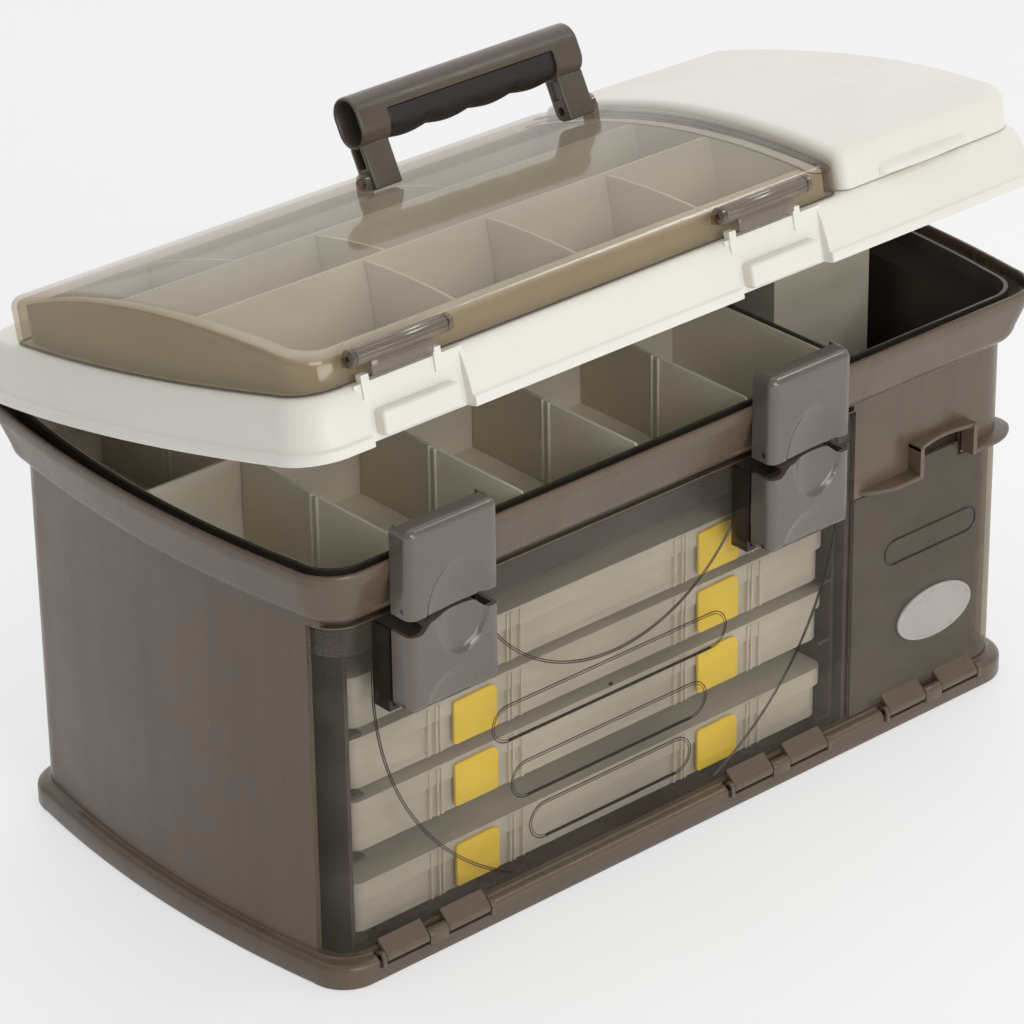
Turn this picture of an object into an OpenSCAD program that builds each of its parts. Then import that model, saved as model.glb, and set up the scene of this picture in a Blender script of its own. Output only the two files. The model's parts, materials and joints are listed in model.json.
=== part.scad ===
// Fishing tackle cabinet: a moulded case with a divided top tray, a front bay of four utility boxes
// behind a clear drop door, a side compartment with its own drop door, and a hinged lid that holds a
// second tray under a clear cover, a bulk cover and a folding carry handle.
// X runs left to right along the front, Y from front to back, Z up; the origin is the centre of the
// flat underside. The lid is drawn ajar, as it stands at rest.

/* [Case] */
// Length of the side compartment, from the seam between the doors to the corner
side_len = 139; // [130:1:150]
// Rim depth from front to back
case_dep = 302; // [290:1:330]
// Height of the rim
rim_z = 257.5; // [250:0.5:275]
// How far the two short sides bow outward
side_bow = 14; // [8:1:18]
// Corner radius of the rim
corner_r = 26; // [22:1:32]
// Thickness of the case wall
wall = 3; // [2.4:0.1:3.4]
// Thickness of the case floor
floor_t = 3; // [2:0.5:6]
// How far the base flare stands inside the rim
base_inset = 7.5; // [6.5:0.5:8.5]
// How far the walls stand inside the rim
body_inset = 14; // [13:0.5:15]
// Height of the base flare
base_h = 15; // [13:0.5:16]
// Height of the rim band
band_h = 34.5; // [33:0.5:36]

/* [Front] */
// Thickness of a door
door_t = 2.6; // [2:0.1:3]
// Gap round a door
door_gap = 1; // [0.6:0.1:1.4]
// Top of the box bay opening
bay_top = 217.5; // [216:0.5:218.5]
// Top of the side compartment opening
side_top = 161; // [156:1:166]
// Height of the door sill
sill_z = 16.5; // [16.5:0.25:17.5]
// How far back the doors wrap round the corners
wrap_y = 117; // [113:1:120]
// Length of a door hinge
hinge_len = 80; // [70:1:90]
// Height of the door hinge pins
door_axis_z = 13.5; // [13:0.25:14]
// How far the door hinge pins stand inside the rim
door_axis_in = 9.5; // [9:0.25:10]
// Radius of a door hinge barrel
barrel_r = 3.75; // [3.5:0.05:4]
// Radius of a hinge pin
pin_r = 1.6; // [1.4:0.05:1.8]
// Running clearance of a pin in its bore
pin_fit = 0.05; // [0.02:0.01:0.08]
// From the left corner to the front door's left hinge
hinge_left_in = 73; // [68:1:78]
// From the seam to the front door's right hinge
hinge_right_in = 62; // [56:1:68]
// From the seam to the side door's hinge
hinge_side_in = 64; // [58:1:70]

/* [Main latches] */
// From the left corner to the left latches
latch_left_in = 70; // [67:1:77]
// From the seam to the right latches
latch_right_in = 65.5; // [60:0.5:70]
// Width of a latch
latch_w = 61; // [56:1:64]
// How far a latch stands out from the rim
latch_d = 16; // [15:0.5:18]
// Height of an upper latch
upper_latch_h = 52; // [50:0.5:56]
// Height of a lower latch
lower_latch_h = 52; // [46:0.5:54]
// Thickness of a latch wall
latch_t = 2.6; // [2:0.1:3]
// Height of the upper latch's lower edge below the rim
upper_latch_drop = 30.5; // [30:0.25:31]
// Gap between the upper and the lower latch
latch_gap = 4.2; // [3.8:0.1:5]

/* [Utility boxes] */
// Width of a box
box_w = 356; // [350:0.5:357]
// Depth of a box
box_d = 232; // [220:1:240]
// Height of a box
box_h = 32; // [28:0.5:33]
// From the left corner to the boxes
box_end_in = 28.5; // [28:0.25:29]
// From the boxes to the seam
box_seam_in = 10.5; // [10:0.25:11]
// Wall of a box
box_wall = 1.6; // [1.2:0.1:2]
// Gap from the door to a box's latches
box_front_gap = 6; // [4:0.25:7]
// How far the lowest box stands above the base
box_low_z = 21; // [20.5:0.25:22.5]
// Spacing of the latches on a box
box_latch_pitch = 181; // [170:1:190]

/* [Top trays] */
// Depth of the top liner's rim below the case rim
liner_drop = 2.5; // [1.5:0.5:4]
// Gap between the case rim and the liner
liner_gap = 7.5; // [6.5:0.25:8.5]
// Height of the tray floor
tray_z = 198; // [196:0.5:200]
// Height of the bulk well's floor
well_z = 168; // [166:0.5:172]
// Thickness of the liner
liner_t = 2; // [1.6:0.1:2.4]
// Thickness of the beige tray
tray_t = 1.8; // [1.4:0.1:2.2]
// From the bulk well to the seam
well_in = 8; // [7:0.5:10]
// From the left corner to the first tray divider
divider_in = 64; // [60:1:68]
// How much shorter the last tray cell is
last_cell_less = 9; // [0:1:12]
// Thickness of a divider
divider_t = 2; // [1.4:0.1:2.6]

/* [Lid] */
// How far the lid stands open at rest
lid_ajar = 12; // [8:0.5:16]
// How far the lid's lip overhangs the rim
lip_over = 4; // [3:0.25:4.5]
// Height of the lip
lip_h = 6; // [5:0.5:7]
// Height of the lid's deck above the rim
deck_h = 32.5; // [31:0.5:34]
// Thickness of the lid
lid_t = 3; // [2.4:0.1:3.4]
// How far the lid hinge stands behind the rim
lid_axis_out = 7; // [6.5:0.25:8]
// From the clear cover to the seam
cover_seam_in = 8.5; // [8:0.5:12]
// Height of the covers' crown above the deck at the left end
crown_left = 42; // [40:0.5:44]
// Height of the crown at the seam between the covers
crown_seam = 37; // [35:0.5:39]
// Height of the crown at the right end
crown_right = 27; // [26:0.5:30]
// Height of the covers' front edge above the deck
front_edge_h = 20; // [19:0.5:21]
// Thickness of the clear cover
cover_t = 2.5; // [2:0.1:3]
// From the back of the rim to the covers
cover_back_in = 43; // [41:1:45]

/* [Handle] */
// Overall width of the handle
handle_w = 163; // [156:1:170]
// From the pivot to the middle of the grip bar
handle_reach = 32.75; // [31:0.25:36]
// How far the handle leans back as it stands, in degrees
handle_lean = 16; // [10:1:20]
// Width of a handle leg
leg_w = 19; // [17:1:21]
// Thickness of a handle leg
leg_t = 12.5; // [12:0.5:14]
// Thickness of the grip bar from front to back
bar_t = 23; // [21:0.5:24]
// Height of the grip bar
bar_h = 30.5; // [28:0.5:32]
// Handle to the right of the middle
handle_x = 7.5; // [4:0.5:10]
// Handle pivot behind the middle
handle_y = 26; // [22:1:30]

/* [Hidden] */
$fn = 48;

skin = 0.01;         // thickness of the slices that a flare joins
far = 400;           // reach of a cutting block
gap = 0.3;           // clearance between neighbours that don't touch
corner_n = 8;        // sides of a corner of the plan
side_n = 12;         // sides of a bowed end of the plan
corner_ease = 0.4;   // how fast the corner radius falls with the inset

case_len = box_end_in + box_w + box_seam_in + side_len;
left_x = -case_len / 2;      // left and right corner of the rim
right_x = case_len / 2;
seam_x = right_x - side_len;
box_x = left_x + box_end_in + box_w / 2;
hinge_left_x = left_x + hinge_left_in;
hinge_right_x = seam_x - hinge_right_in;
hinge_side_x = seam_x + hinge_side_in;
latch_left_x = left_x + latch_left_in;
latch_right_x = seam_x - latch_right_in;
well_x = seam_x - well_in;
cover_right = seam_x - cover_seam_in;

rim_y = case_dep / 2;
cover_back = rim_y - cover_back_in;
body_y = rim_y - body_inset;
base_y = rim_y - base_inset;
band_z = rim_z - band_h;
bump_r = 4;          // radius that ends a groove or rib

// ---- plan outline ----
function side_x(hl, hd, y) = hl + side_bow * (1 - (y / hd) * (y / hd));
function corner(cx, cy, r, a0) = [
    for (k = [0:corner_n]) [cx + r * cos(a0 + 90 * k / corner_n), cy + r * sin(a0 + 90 * k / corner_n)]
];
function plan_points(inset) = let(
    hl = case_len / 2 - inset,
    hd = case_dep / 2 - inset,
    r = corner_r - corner_ease * inset,
    cy = hd - r,
    cx = side_x(hl, hd, cy) - r,
    ys = [for (k = [1:side_n - 1]) cy * (2 * k / side_n - 1)]
) concat(
    corner(cx, -cy, r, -90), [for (y = ys) [side_x(hl, hd, y), y]], corner(cx, cy, r, 0),
    corner(-cx, cy, r, 90), [for (y = ys) [-side_x(hl, hd, y), -y]], corner(-cx, -cy, r, 180)
);

module slab(inset, z0, z1) {
    translate([0, 0, z0]) linear_extrude(height = z1 - z0) polygon(plan_points(inset));
}
module flare(inset0, z0, inset1, z1) {
    hull() {
        slab(inset0, z0, z0 + skin);
        slab(inset1, z1 - skin, z1);
    }
}
module block(low, high) {
    translate(low) cube([for (k = [0:2]) high[k] - low[k]]);
}
module rod(x0, x1, y, z, r) {
    translate([x0, y, z]) rotate([0, 90, 0]) cylinder(h = x1 - x0, r = r);
}
// a vertical profile in Y and Z, drawn along X
module along_x(x0, x1) {
    translate([x0, 0, 0]) rotate([90, 0, 90]) linear_extrude(height = x1 - x0) children();
}
// a flat shape in X and Z, standing from y0 to y1
module upright(y0, y1) {
    translate([0, y1, 0]) rotate([90, 0, 0]) linear_extrude(height = y1 - y0) children();
}
module capsule(x0, x1, z, h) {
    translate([x0 + h / 2, z]) circle(d = h);
    translate([x1 - h / 2, z]) circle(d = h);
    translate([x0 + h / 2, z - h / 2]) square([x1 - x0 - h, h]);
}
module rounded(w, d, r) {
    square([w, d - 2 * r], center = true);
    square([w - 2 * r, d], center = true);
    for (sx = [-1, 1], sy = [-1, 1]) translate([sx * (w / 2 - r), sy * (d / 2 - r)]) circle(r = r);
}

// ---- case ----
band_low = 6.5;               // inset of the band's lower edge
band_curve = 7;               // height of the curve under the band
rim_straight = 6.5;           // straight part at the top of the rim
inner_inset = body_inset + wall;
pad_w = 48;                   // width of the flat pad behind an upper latch
pad_in = 8;                   // how deep a pad reaches into the band
lid_pad_in = 97;
lid_pads_x = [left_x + lid_pad_in, 0, right_x - lid_pad_in];  // lid hinge places
lid_pad_w = 60;

module band_outside() {
    flare(body_inset, band_z, band_low, band_z + band_curve);
    flare(band_low, band_z + band_curve - skin, 0, rim_z - rim_straight);
    slab(0, rim_z - rim_straight - skin, rim_z);
}
module latch_pads() {
    pad_z = band_z + band_curve - 3;
    for (x = [latch_left_x, latch_right_x])
        block([x - pad_w / 2, -rim_y, pad_z], [x + pad_w / 2, -rim_y + pad_in, rim_z - rim_straight]);
    for (x = lid_pads_x)
        block([x - lid_pad_w / 2, rim_y - pad_in, pad_z], [x + lid_pad_w / 2, rim_y, rim_z - rim_straight]);
}
ledge_out = 10;               // how far the pull ledge stands out from the wall
ledge_t = 3;
ledge_z = side_top + door_gap;
pull_x0 = seam_x + 44;        // finger pull, left and right
pull_x1 = seam_x + 91;
pull_h = 18;
ledge_x0 = seam_x + 4;
module ledge_zone(inset) {
    intersection() {
        slab(inset, ledge_z, ledge_z + pull_h + ledge_t);
        block([ledge_x0, -far, 0], [far, -wrap_y, far]);
    }
}
module pull_ledge() {
    difference() {
        ledge_zone(body_inset - ledge_out);
        slab(body_inset + wall / 2, 0, far);
        block([0, -far, ledge_z + ledge_t], [pull_x0, 0, far]);
        block([pull_x1, -far, ledge_z + ledge_t], [far, 0, far]);
        block([pull_x0 + ledge_t, -far, 0], [pull_x1 - ledge_t, 0, ledge_z + pull_h]);
        // the ledge grows out of the wall at its left end
        translate([ledge_x0, -body_y - ledge_out, 0]) rotate([0, 0, 60])
            block([-far, -far, 0], [0, far, far]);
    }
}
notch_z = door_axis_z - barrel_r - 1.25;
module hinge_notches() {
    for (x = [hinge_left_x, hinge_right_x, hinge_side_x])
        block([x - hinge_len / 2 - 1, -far, notch_z], [x + hinge_len / 2 + 1, -body_y, far]);
}
module case_shell() {
    color("#6b6056") difference() {
        union() {
            slab(base_inset, 0, base_h - 3);
            flare(base_inset, base_h - 3 - skin, base_inset + 2.5, base_h);
            slab(body_inset, 0, band_z + band_curve);
            band_outside();
            latch_pads();
            pull_ledge();
        }
        slab(inner_inset, floor_t, far);
        flare(inner_inset, band_z + band_curve + 2, wall, rim_z - rim_straight);
        slab(wall, rim_z - rim_straight - skin, far);
        // the two door openings and the finger pull
        block([-far, -far, sill_z], [far, -wrap_y, side_top]);
        block([-far, -far, side_top - skin], [seam_x, -wrap_y, bay_top]);
        block([pull_x0 + ledge_t, -far, side_top - skin], [pull_x1 - ledge_t, -body_y + wall + 1,
            ledge_z + pull_h - ledge_t]);
        intersection() {
            hinge_notches();
            block([-far, -far, 0], [far, -body_y, base_h + 1]);
        }
    }
}

// ---- bay ----
partition_t = 3;
partition_x = seam_x - 4;
rack_t = 2.5;
rack_gap = 1.5;              // side play of a box between its racks
ledge_reach = 9;             // how far a rack ledge reaches under a box
rack_y0 = -body_y + 8;
rack_y1 = rim_y - 33;
box_z = [box_low_z + 127, box_low_z + 90, box_low_z + 51, box_low_z];
module bay_partition() {
    color("#5a5048") difference() {
        block([partition_x, -body_y + door_t + gap, floor_t], [partition_x + partition_t, body_y - wall, tray_z]);
        block([0, -far, 0], [far, -base_y + wall + body_inset - base_inset + gap, sill_z]);
    }
}
module rack(side) {
    inner = box_x + side * (box_w / 2 + rack_gap);
    color("#4c443d") union() {
        block([min(inner, inner + side * rack_t), rack_y0, floor_t],
              [max(inner, inner + side * rack_t), rack_y1, tray_z]);
        for (z = box_z)
            block([min(inner + side * skin, inner - side * ledge_reach), rack_y0, z - gap - 2],
                  [max(inner + side * skin, inner - side * ledge_reach), rack_y1, z - gap]);
        block([min(inner + side * skin, inner - side * ledge_reach), rack_y1 - 2, floor_t],
              [max(inner + side * skin, inner - side * ledge_reach), rack_y1, tray_z]);
    }
}

// ---- top liner and trays ----
flare_z0 = band_z + band_curve + 5;
flare_z1 = flare_z0 + 9;
liner_top = rim_z - liner_drop;
liner_in = inner_inset + 1.5;             // inset of the liner below the flare
liner_rim = wall + liner_gap;             // inset of the liner at its rim
module tub(in0, in1, z0, z1) {
    slab(in0, z0, flare_z0);
    flare(in0, flare_z0 - skin, in1, flare_z1);
    slab(in1, flare_z1 - skin, z1);
}
module top_liner() {
    color("#3a322c") difference() {
        union() {
            tub(liner_in, liner_rim, tray_z, liner_top);
            intersection() {
                slab(liner_in, well_z, tray_z + skin);
                block([well_x + partition_t + 7.5, -far, 0], [far, far, far]);
            }
        }
        intersection() {
            tub(liner_in + liner_t, liner_rim + liner_t, well_z + liner_t, far);
            union() {
                block([-far, -far, tray_z + liner_t], [well_x - liner_t, far, far]);
                block([well_x, -far, tray_z + liner_t], [far, far, far]);
                block([well_x + partition_t + 7.5 + liner_t, -far, 0], [far, far, far]);
            }
        }
    }
}
tray_in = liner_in + liner_t + gap;
tray_rim = liner_rim + liner_t + gap;
tray_top = liner_top - 1.5;
tray_floor = tray_z + liner_t + tray_t;
tray_right = well_x - liner_t - gap;
mid_wall_y = 2;
module divided_tray() {
    color("#b5ab92") difference() {
        intersection() {
            tub(tray_in, tray_rim, tray_z + liner_t, tray_top);
            block([-far, -far, 0], [tray_right, far, far]);
        }
        for (rows = [[-far, mid_wall_y - tray_t / 2], [mid_wall_y + tray_t / 2, far]])
            intersection() {
                tub(tray_in + tray_t, tray_rim + tray_t, tray_floor, far);
                block([-far, rows[0], 0], [tray_right - tray_t, rows[1], far]);
            }
    }
}
tray_wall_y = rim_y - tray_in - tray_t - gap;
tray_wide_y = rim_y - tray_rim - tray_t - gap;
function divider_outline(end) = [
    [mid_wall_y + end * (tray_t / 2 + gap), tray_floor],
    [end * tray_wall_y, tray_floor],
    [end * tray_wall_y, flare_z0],
    [end * tray_wide_y, flare_z1 + 1],
    [end * tray_wide_y, tray_top - 3],
    [end * (tray_wide_y - 3), tray_top],
    [mid_wall_y + end * (tray_t / 2 + gap), tray_top]
];
divider_pitch = (tray_right - left_x - divider_in + last_cell_less) / 4;
slot_y = [-62, 66];           // where the dividers carry slot ribs
rib = 1.4;
module tray_dividers() {
    color("#c2b89e") for (k = [0:3], end = [-1, 1]) {
        x = left_x + divider_in + k * divider_pitch;
        along_x(x - divider_t / 2, x + divider_t / 2) polygon(divider_outline(end));
        for (sy = [-1, 1], sx = [-1, 1]) {
            y = slot_y[end > 0 ? 1 : 0] + sy * 2.5;
            block([min(x + sx * (divider_t / 2 - skin), x + sx * (divider_t / 2 + rib)), y - rib / 2, tray_floor],
                  [max(x + sx * (divider_t / 2 - skin), x + sx * (divider_t / 2 + rib)), y + rib / 2, tray_top]);
        }
    }
}
well_plate_y = -30;
well_plate_x = well_x + 48;
module well_divider() {
    color("#b5ab92") union() {
        block([well_plate_x, well_plate_y, well_z + liner_t],
              [case_len / 2 - liner_in - liner_t, well_plate_y + divider_t, tray_top]);
        block([well_plate_x, well_plate_y, well_z + liner_t],
              [well_plate_x + divider_t, tray_wall_y, tray_top]);
    }
}

// ---- door hinges ----
door_axis_y = -rim_y + door_axis_in;
clip_w = 13;                  // middle clip of a hinge
ear_w = 2.5;                  // end ears of a hinge
bore_r = pin_r + pin_fit;
// spans of a hinge that belong to the case, about its centre
function case_spans() = [
    [-hinge_len / 2, -hinge_len / 2 + ear_w], [-clip_w / 2, clip_w / 2],
    [hinge_len / 2 - ear_w, hinge_len / 2]
];
function door_spans() = [
    [-hinge_len / 2 + ear_w + gap, -clip_w / 2 - gap], [clip_w / 2 + gap, hinge_len / 2 - ear_w - gap]
];
module hinge_bracket(x) {
    for (s = case_spans()) difference() {
        union() {
            rod(x + s[0], x + s[1], door_axis_y, door_axis_z, barrel_r);
            block([x + s[0], door_axis_y - barrel_r, notch_z], [x + s[1], -body_y, door_axis_z]);
        }
        rod(x - hinge_len, x + hinge_len, door_axis_y, door_axis_z, bore_r);
    }
}
module hinge_barrels(x) {
    for (s = door_spans()) difference() {
        union() {
            rod(x + s[0], x + s[1], door_axis_y, door_axis_z, barrel_r);
            block([x + s[0], door_axis_y, door_axis_z], [x + s[1], -body_y, sill_z + 8]);
        }
        rod(x - hinge_len, x + hinge_len, door_axis_y, door_axis_z, bore_r);
    }
}
module hinge_pin(x) {
    rod(x - hinge_len / 2, x + hinge_len / 2, door_axis_y, door_axis_z, pin_r);
}
module door_hinge_brackets() {
    color("#4c443d") for (x = [hinge_left_x, hinge_right_x]) hinge_bracket(x);
}
module door_hinge_pins() {
    color("#8c8c8c") for (x = [hinge_left_x, hinge_right_x]) hinge_pin(x);
}
module side_hinge_brackets() {
    color("#4c443d") hinge_bracket(hinge_side_x);
}
module side_hinge_pin() {
    color("#8c8c8c") hinge_pin(hinge_side_x);
}

// ---- doors ----
door_z0 = sill_z + door_gap;
groove = 0.8;                 // depth of the lines moulded in a door
arc_x = box_x + 3.5;
arc_z = [177, 242];          // centres and radii of the two arcs
arc_r = [172, 108];
panel_x = box_x - 4;         // middle of the moulded panels
panels = [[-82.5, 92.5, 118.5], [-69.5, 77.5, 79], [-56.5, 65.5, 47.5]];
panel_h = 23;
line_w = 1.5;
module door_skin(z1) {
    difference() {
        slab(body_inset, door_z0, z1);
        slab(body_inset + door_t, 0, far);
    }
}
module ring(x, z, r, w) {
    translate([x, z]) difference() {
        circle(r = r + w / 2, $fn = 180);
        circle(r = r - w / 2, $fn = 180);
    }
}
module front_door() {
    color([0.45, 0.4, 0.33, 0.5]) difference() {
        intersection() {
            door_skin(bay_top - door_gap);
            block([-far, -far, 0], [seam_x - door_gap / 2, -wrap_y - door_gap, far]);
        }
        // three long moulded panels and two moulded arcs
        for (g = panels)
            upright(-body_y - 1, -body_y + groove) difference() {
                capsule(panel_x + g[0], panel_x + g[1], g[2], panel_h);
                capsule(panel_x + g[0] + line_w, panel_x + g[1] - line_w, g[2], panel_h - 2 * line_w);
            }
        intersection() {
            upright(-body_y - 1, -body_y + groove) {
                for (k = [0, 1]) ring(arc_x, arc_z[k], arc_r[k], line_w);
            }
            block([left_x + 32, -far, door_z0 + 4], [seam_x - 8, 0, bay_top - 6]);
        }
    }
}
module front_door_barrels() {
    color("#4c443d") for (x = [hinge_left_x, hinge_right_x]) hinge_barrels(x);
}
tongue_in = 2.5;
side_line = [26, 103, 115];  // moulded line in the side door: both ends from the seam, and its height
side_line_h = 17;
module side_door() {
    color([0.36, 0.31, 0.27, 0.7]) difference() {
        union() {
            intersection() {
                door_skin(side_top - door_gap);
                block([seam_x + door_gap / 2, -far, 0], [far, -wrap_y - door_gap, far]);
            }
            block([pull_x0 + ledge_t + tongue_in, -body_y, side_top - door_gap - skin],
                  [pull_x1 - ledge_t - tongue_in, -body_y + door_t, side_top + 8]);
        }
        upright(-body_y - 1, -body_y + groove) difference() {
            capsule(seam_x + side_line[0], seam_x + side_line[1], side_line[2], side_line_h);
            capsule(seam_x + side_line[0] + line_w, seam_x + side_line[1] - line_w, side_line[2],
                side_line_h - 2 * line_w);
        }
    }
}
module side_door_barrels() {
    color("#4c443d") hinge_barrels(hinge_side_x);
}
badge_r = 19;
badge_half = 31;
badge_in = 69;
badge_z = 64;
badge_t = 1.6;
module side_badge() {
    color("#b9b6ae") upright(-body_y - badge_t, -body_y)
        capsule(seam_x + badge_in - badge_half, seam_x + badge_in + badge_half, badge_z, 2 * badge_r);
}

// ---- main latches ----
latch_y1 = -rim_y - gap;                // back edge of a latch
latch_y0 = -rim_y - latch_d;            // its front face
upper_z0 = rim_z - upper_latch_drop;
upper_z1 = upper_z0 + upper_latch_h;
lower_z1 = upper_z0 - latch_gap;
lower_z0 = lower_z1 - lower_latch_h;
latch_pin_r = 1.5;
latch_lug_r = 3;
upper_axis = [latch_y0 + latch_t + latch_lug_r + 0.9, upper_z0 + 4.5];
lower_axis = [latch_y0 + latch_t + latch_lug_r + 0.9, lower_z0 + 4.5];
latch_lip = latch_y0 + 11.4;            // back edge of an upper latch's top wall
scoop_r = 24;
scoop_d = 1.6;
module latch_cap(x, z0, z1, axis, top_y) {
    half = latch_w / 2;
    difference() {
        block([x - half, latch_y0, z0], [x + half, latch_y1, z1]);
        block([x - half + latch_t, latch_y0 + latch_t, z0 - 1], [x + half - latch_t, 0, z1 - latch_t]);
        block([x - half + latch_t, top_y, z1 - latch_t - 1], [x + half - latch_t, 0, z1 + 1]);
        rod(x - latch_w, x + latch_w, axis[0], axis[1], latch_pin_r + pin_fit);
        children();
    }
}
module scoop(x, z) {
    translate([x, latch_y0 - scoop_r + scoop_d, z]) sphere(r = scoop_r, $fn = 64);
}
module upper_latch(x) {
    color("#7c736f") latch_cap(x, upper_z0, upper_z1, upper_axis, latch_lip) scoop(x, upper_z0 + 2);
}
module lower_latch(x) {
    color("#7c736f") latch_cap(x, lower_z0, lower_z1, lower_axis, latch_y1 - 2) {
        scoop(x, lower_z1 - 2);
        scoop(x, lower_z0 + 1);
    }
}
module latch_pin(x, axis) {
    rod(x - latch_w / 2 + gap, x + latch_w / 2 - gap, axis[0], axis[1], latch_pin_r);
}
lug_w = 8;
// a pair of lugs from the face at y to the latch's pin
module latch_lugs(x, axis, y) {
    edge = latch_w / 2 - latch_t - gap;
    for (s = [-1, 1]) difference() {
        union() {
            rod(x + s * (edge - lug_w / 2) - lug_w / 2, x + s * (edge - lug_w / 2) + lug_w / 2,
                axis[0], axis[1], latch_lug_r);
            block([x + s * (edge - lug_w / 2) - lug_w / 2, axis[0], axis[1] - latch_lug_r],
                  [x + s * (edge - lug_w / 2) + lug_w / 2, y, axis[1] + latch_lug_r]);
        }
        rod(x - latch_w, x + latch_w, axis[0], axis[1], latch_pin_r + pin_fit);
    }
}
module latch_brackets() {
    color("#6b6056") for (x = [latch_left_x, latch_right_x]) {
        latch_lugs(x, upper_axis, -rim_y);
        block([x - pad_w / 2 + 2, -rim_y - 1.2, upper_axis[1] - latch_lug_r],
              [x + pad_w / 2 - 2, -rim_y, upper_axis[1] + latch_lug_r]);
    }
}
module upper_latch_pins() {
    color("#8c8c8c") for (x = [latch_left_x, latch_right_x]) latch_pin(x, upper_axis);
}
pocket_t = 2.5;
pocket_in = 1.4;              // how far the pocket's front stands inside the rim
module door_latch_brackets() {
    half = latch_w / 2;
    color([0.38, 0.34, 0.3, 0.8]) for (x = [latch_left_x, latch_right_x]) {
        latch_lugs(x, lower_axis, -body_y);
        difference() {
            block([x - half - 1, -rim_y + pocket_in, lower_z0 - 3], [x + half + 1, -body_y, lower_z1 - 6]);
            block([x - half - 1 + pocket_t, -far, lower_z0 - 3 + pocket_t],
                  [x + half + 1 - pocket_t, -body_y + 1, far]);
        }
    }
}
module lower_latch_pins() {
    color("#8c8c8c") for (x = [latch_left_x, latch_right_x]) latch_pin(x, lower_axis);
}

// ---- utility boxes ----
box_corner = 8;
box_y0 = -body_y + door_t + box_front_gap;      // front of a box's latches
box_latch_t = 2;
box_mid_y = box_y0 + box_latch_t + box_d / 2;
box_rim = 5;                 // from a box's outside to its cells
box_lid_h = 11;
module box_shape(w, d, z0, z1) {
    translate([box_x, box_mid_y, z0]) linear_extrude(height = z1 - z0) rounded(w, d, box_corner);
}
cell_w = (box_w - 2 * box_rim) / 3;
cell_d = (box_d - 2 * box_rim) / 2;
module box_base(z, h) {
    color([0.8, 0.8, 0.77, 0.6]) difference() {
        box_shape(box_w - 4, box_d - 4, z, z + h - box_lid_h);
        for (row = [-1, 1], col = [-1, 0, 1])
            block([box_x + (col - 0.5) * cell_w + box_wall, box_mid_y + (row - 1) * cell_d / 2 + box_wall, z + box_wall],
                  [box_x + (col + 0.5) * cell_w, box_mid_y + (row + 1) * cell_d / 2, far]);
    }
}
module box_lid(z, h) {
    z0 = z + h - box_lid_h;
    color([0.85, 0.85, 0.82, 0.5]) difference() {
        box_shape(box_w, box_d, z0, z + h);
        box_shape(box_w - 2 * box_wall, box_d - 2 * box_wall, z0 - 1, z + h - box_wall);
    }
}
box_latch_w = 31;
box_latch_h = 27;
module box_latches(z) {
    color("#e3bd3f") for (s = [-1, 1])
        block([box_x + s * box_latch_pitch / 2 - box_latch_w / 2, box_y0, z + 2.5],
              [box_x + s * box_latch_pitch / 2 + box_latch_w / 2, box_y0 + box_latch_t, z + 2.5 + box_latch_h]);
}

// ---- lid, drawn closed and then turned ajar ----
lid_axis_y = rim_y + lid_axis_out;
lid_axis_z = rim_z;
lid_z = rim_z + gap;
deck_z = rim_z + deck_h;
module on_lid() {
    translate([0, lid_axis_y, lid_axis_z]) rotate([-lid_ajar, 0, 0])
        translate([0, -lid_axis_y, -lid_axis_z]) children();
}
skirt_mid = rim_z + 22.5;
skirt_in = 1;                 // inset of the skirt half way up
deck_in = 6;                  // inset of the deck's edge
lid_knuckle_r = 6;
notch_w = 68;                 // notch in the lid for a latch
notch_y = rim_y - 4;
bar_w = 52;                   // catch bar in the notch
tray_hole_in = 20;
tray_hole_right = cover_right - 11;
tray_hole_back = cover_back - 12;
bulk_hole_left = cover_right + 20;
module lid_skin(t, z0, top) {
    slab(-lip_over + t, z0, lid_z + lip_h);
    flare(-lip_over / 2 + t, lid_z + lip_h - skin, skirt_in + t, skirt_mid);
    flare(skirt_in + t, skirt_mid - skin, deck_in + t, top);
}
module tray_hole(in, right, back, z0, z1) {
    intersection() {
        slab(in, z0, z1);
        block([-far, -far, 0], [right, back, far]);
    }
}
module bulk_hole(in, left, back, z0, z1) {
    intersection() {
        slab(in, z0, z1);
        block([left, -far, 0], [far, back, far]);
    }
}
tab_w = 5;
tab_x = 24;
module lid_shell() {
    color("#ebe8dc") on_lid() difference() {
        union() {
            difference() {
                lid_skin(0, lid_z, deck_z);
                lid_skin(lid_t, lid_z - 1, deck_z - lid_t);
                tray_hole(tray_hole_in, tray_hole_right, tray_hole_back, deck_z - 2 * lid_t, far);
                bulk_hole(tray_hole_in, bulk_hole_left, tray_hole_back, deck_z - 2 * lid_t, far);
                for (x = [latch_left_x, latch_right_x])
                    block([x - notch_w / 2, -far, 0], [x + notch_w / 2, -notch_y, far]);
            }
            for (x = [latch_left_x, latch_right_x]) {
                block([x - notch_w / 2 - 2, -notch_y - skin, lid_z],
                      [x + notch_w / 2 + 2, -notch_y + 2.5, deck_z]);
                for (s = [-1, 1])
                    block([x + s * (notch_w / 2 + 1) - 1, -rim_y + 1, lid_z],
                          [x + s * (notch_w / 2 + 1) + 1, -notch_y + 2.5, skirt_mid]);
                block([x - bar_w / 2, -rim_y - lip_over, lid_z + 3], [x + bar_w / 2, -notch_y, lid_z + 16.7]);
            }
            for (x = cover_latch_xs, s = [-1, 1])
                block([x + s * tab_x - tab_w / 2, -notch_y - 1.5, deck_z - 8],
                      [x + s * tab_x + tab_w / 2, -cover_y - gap, deck_z + 4.5]);
        }
        for (x = lid_pads_x) rod(x - lid_pad_w / 2, x + lid_pad_w / 2, lid_axis_y, lid_axis_z, lid_knuckle_r + 1);
    }
}
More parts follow.
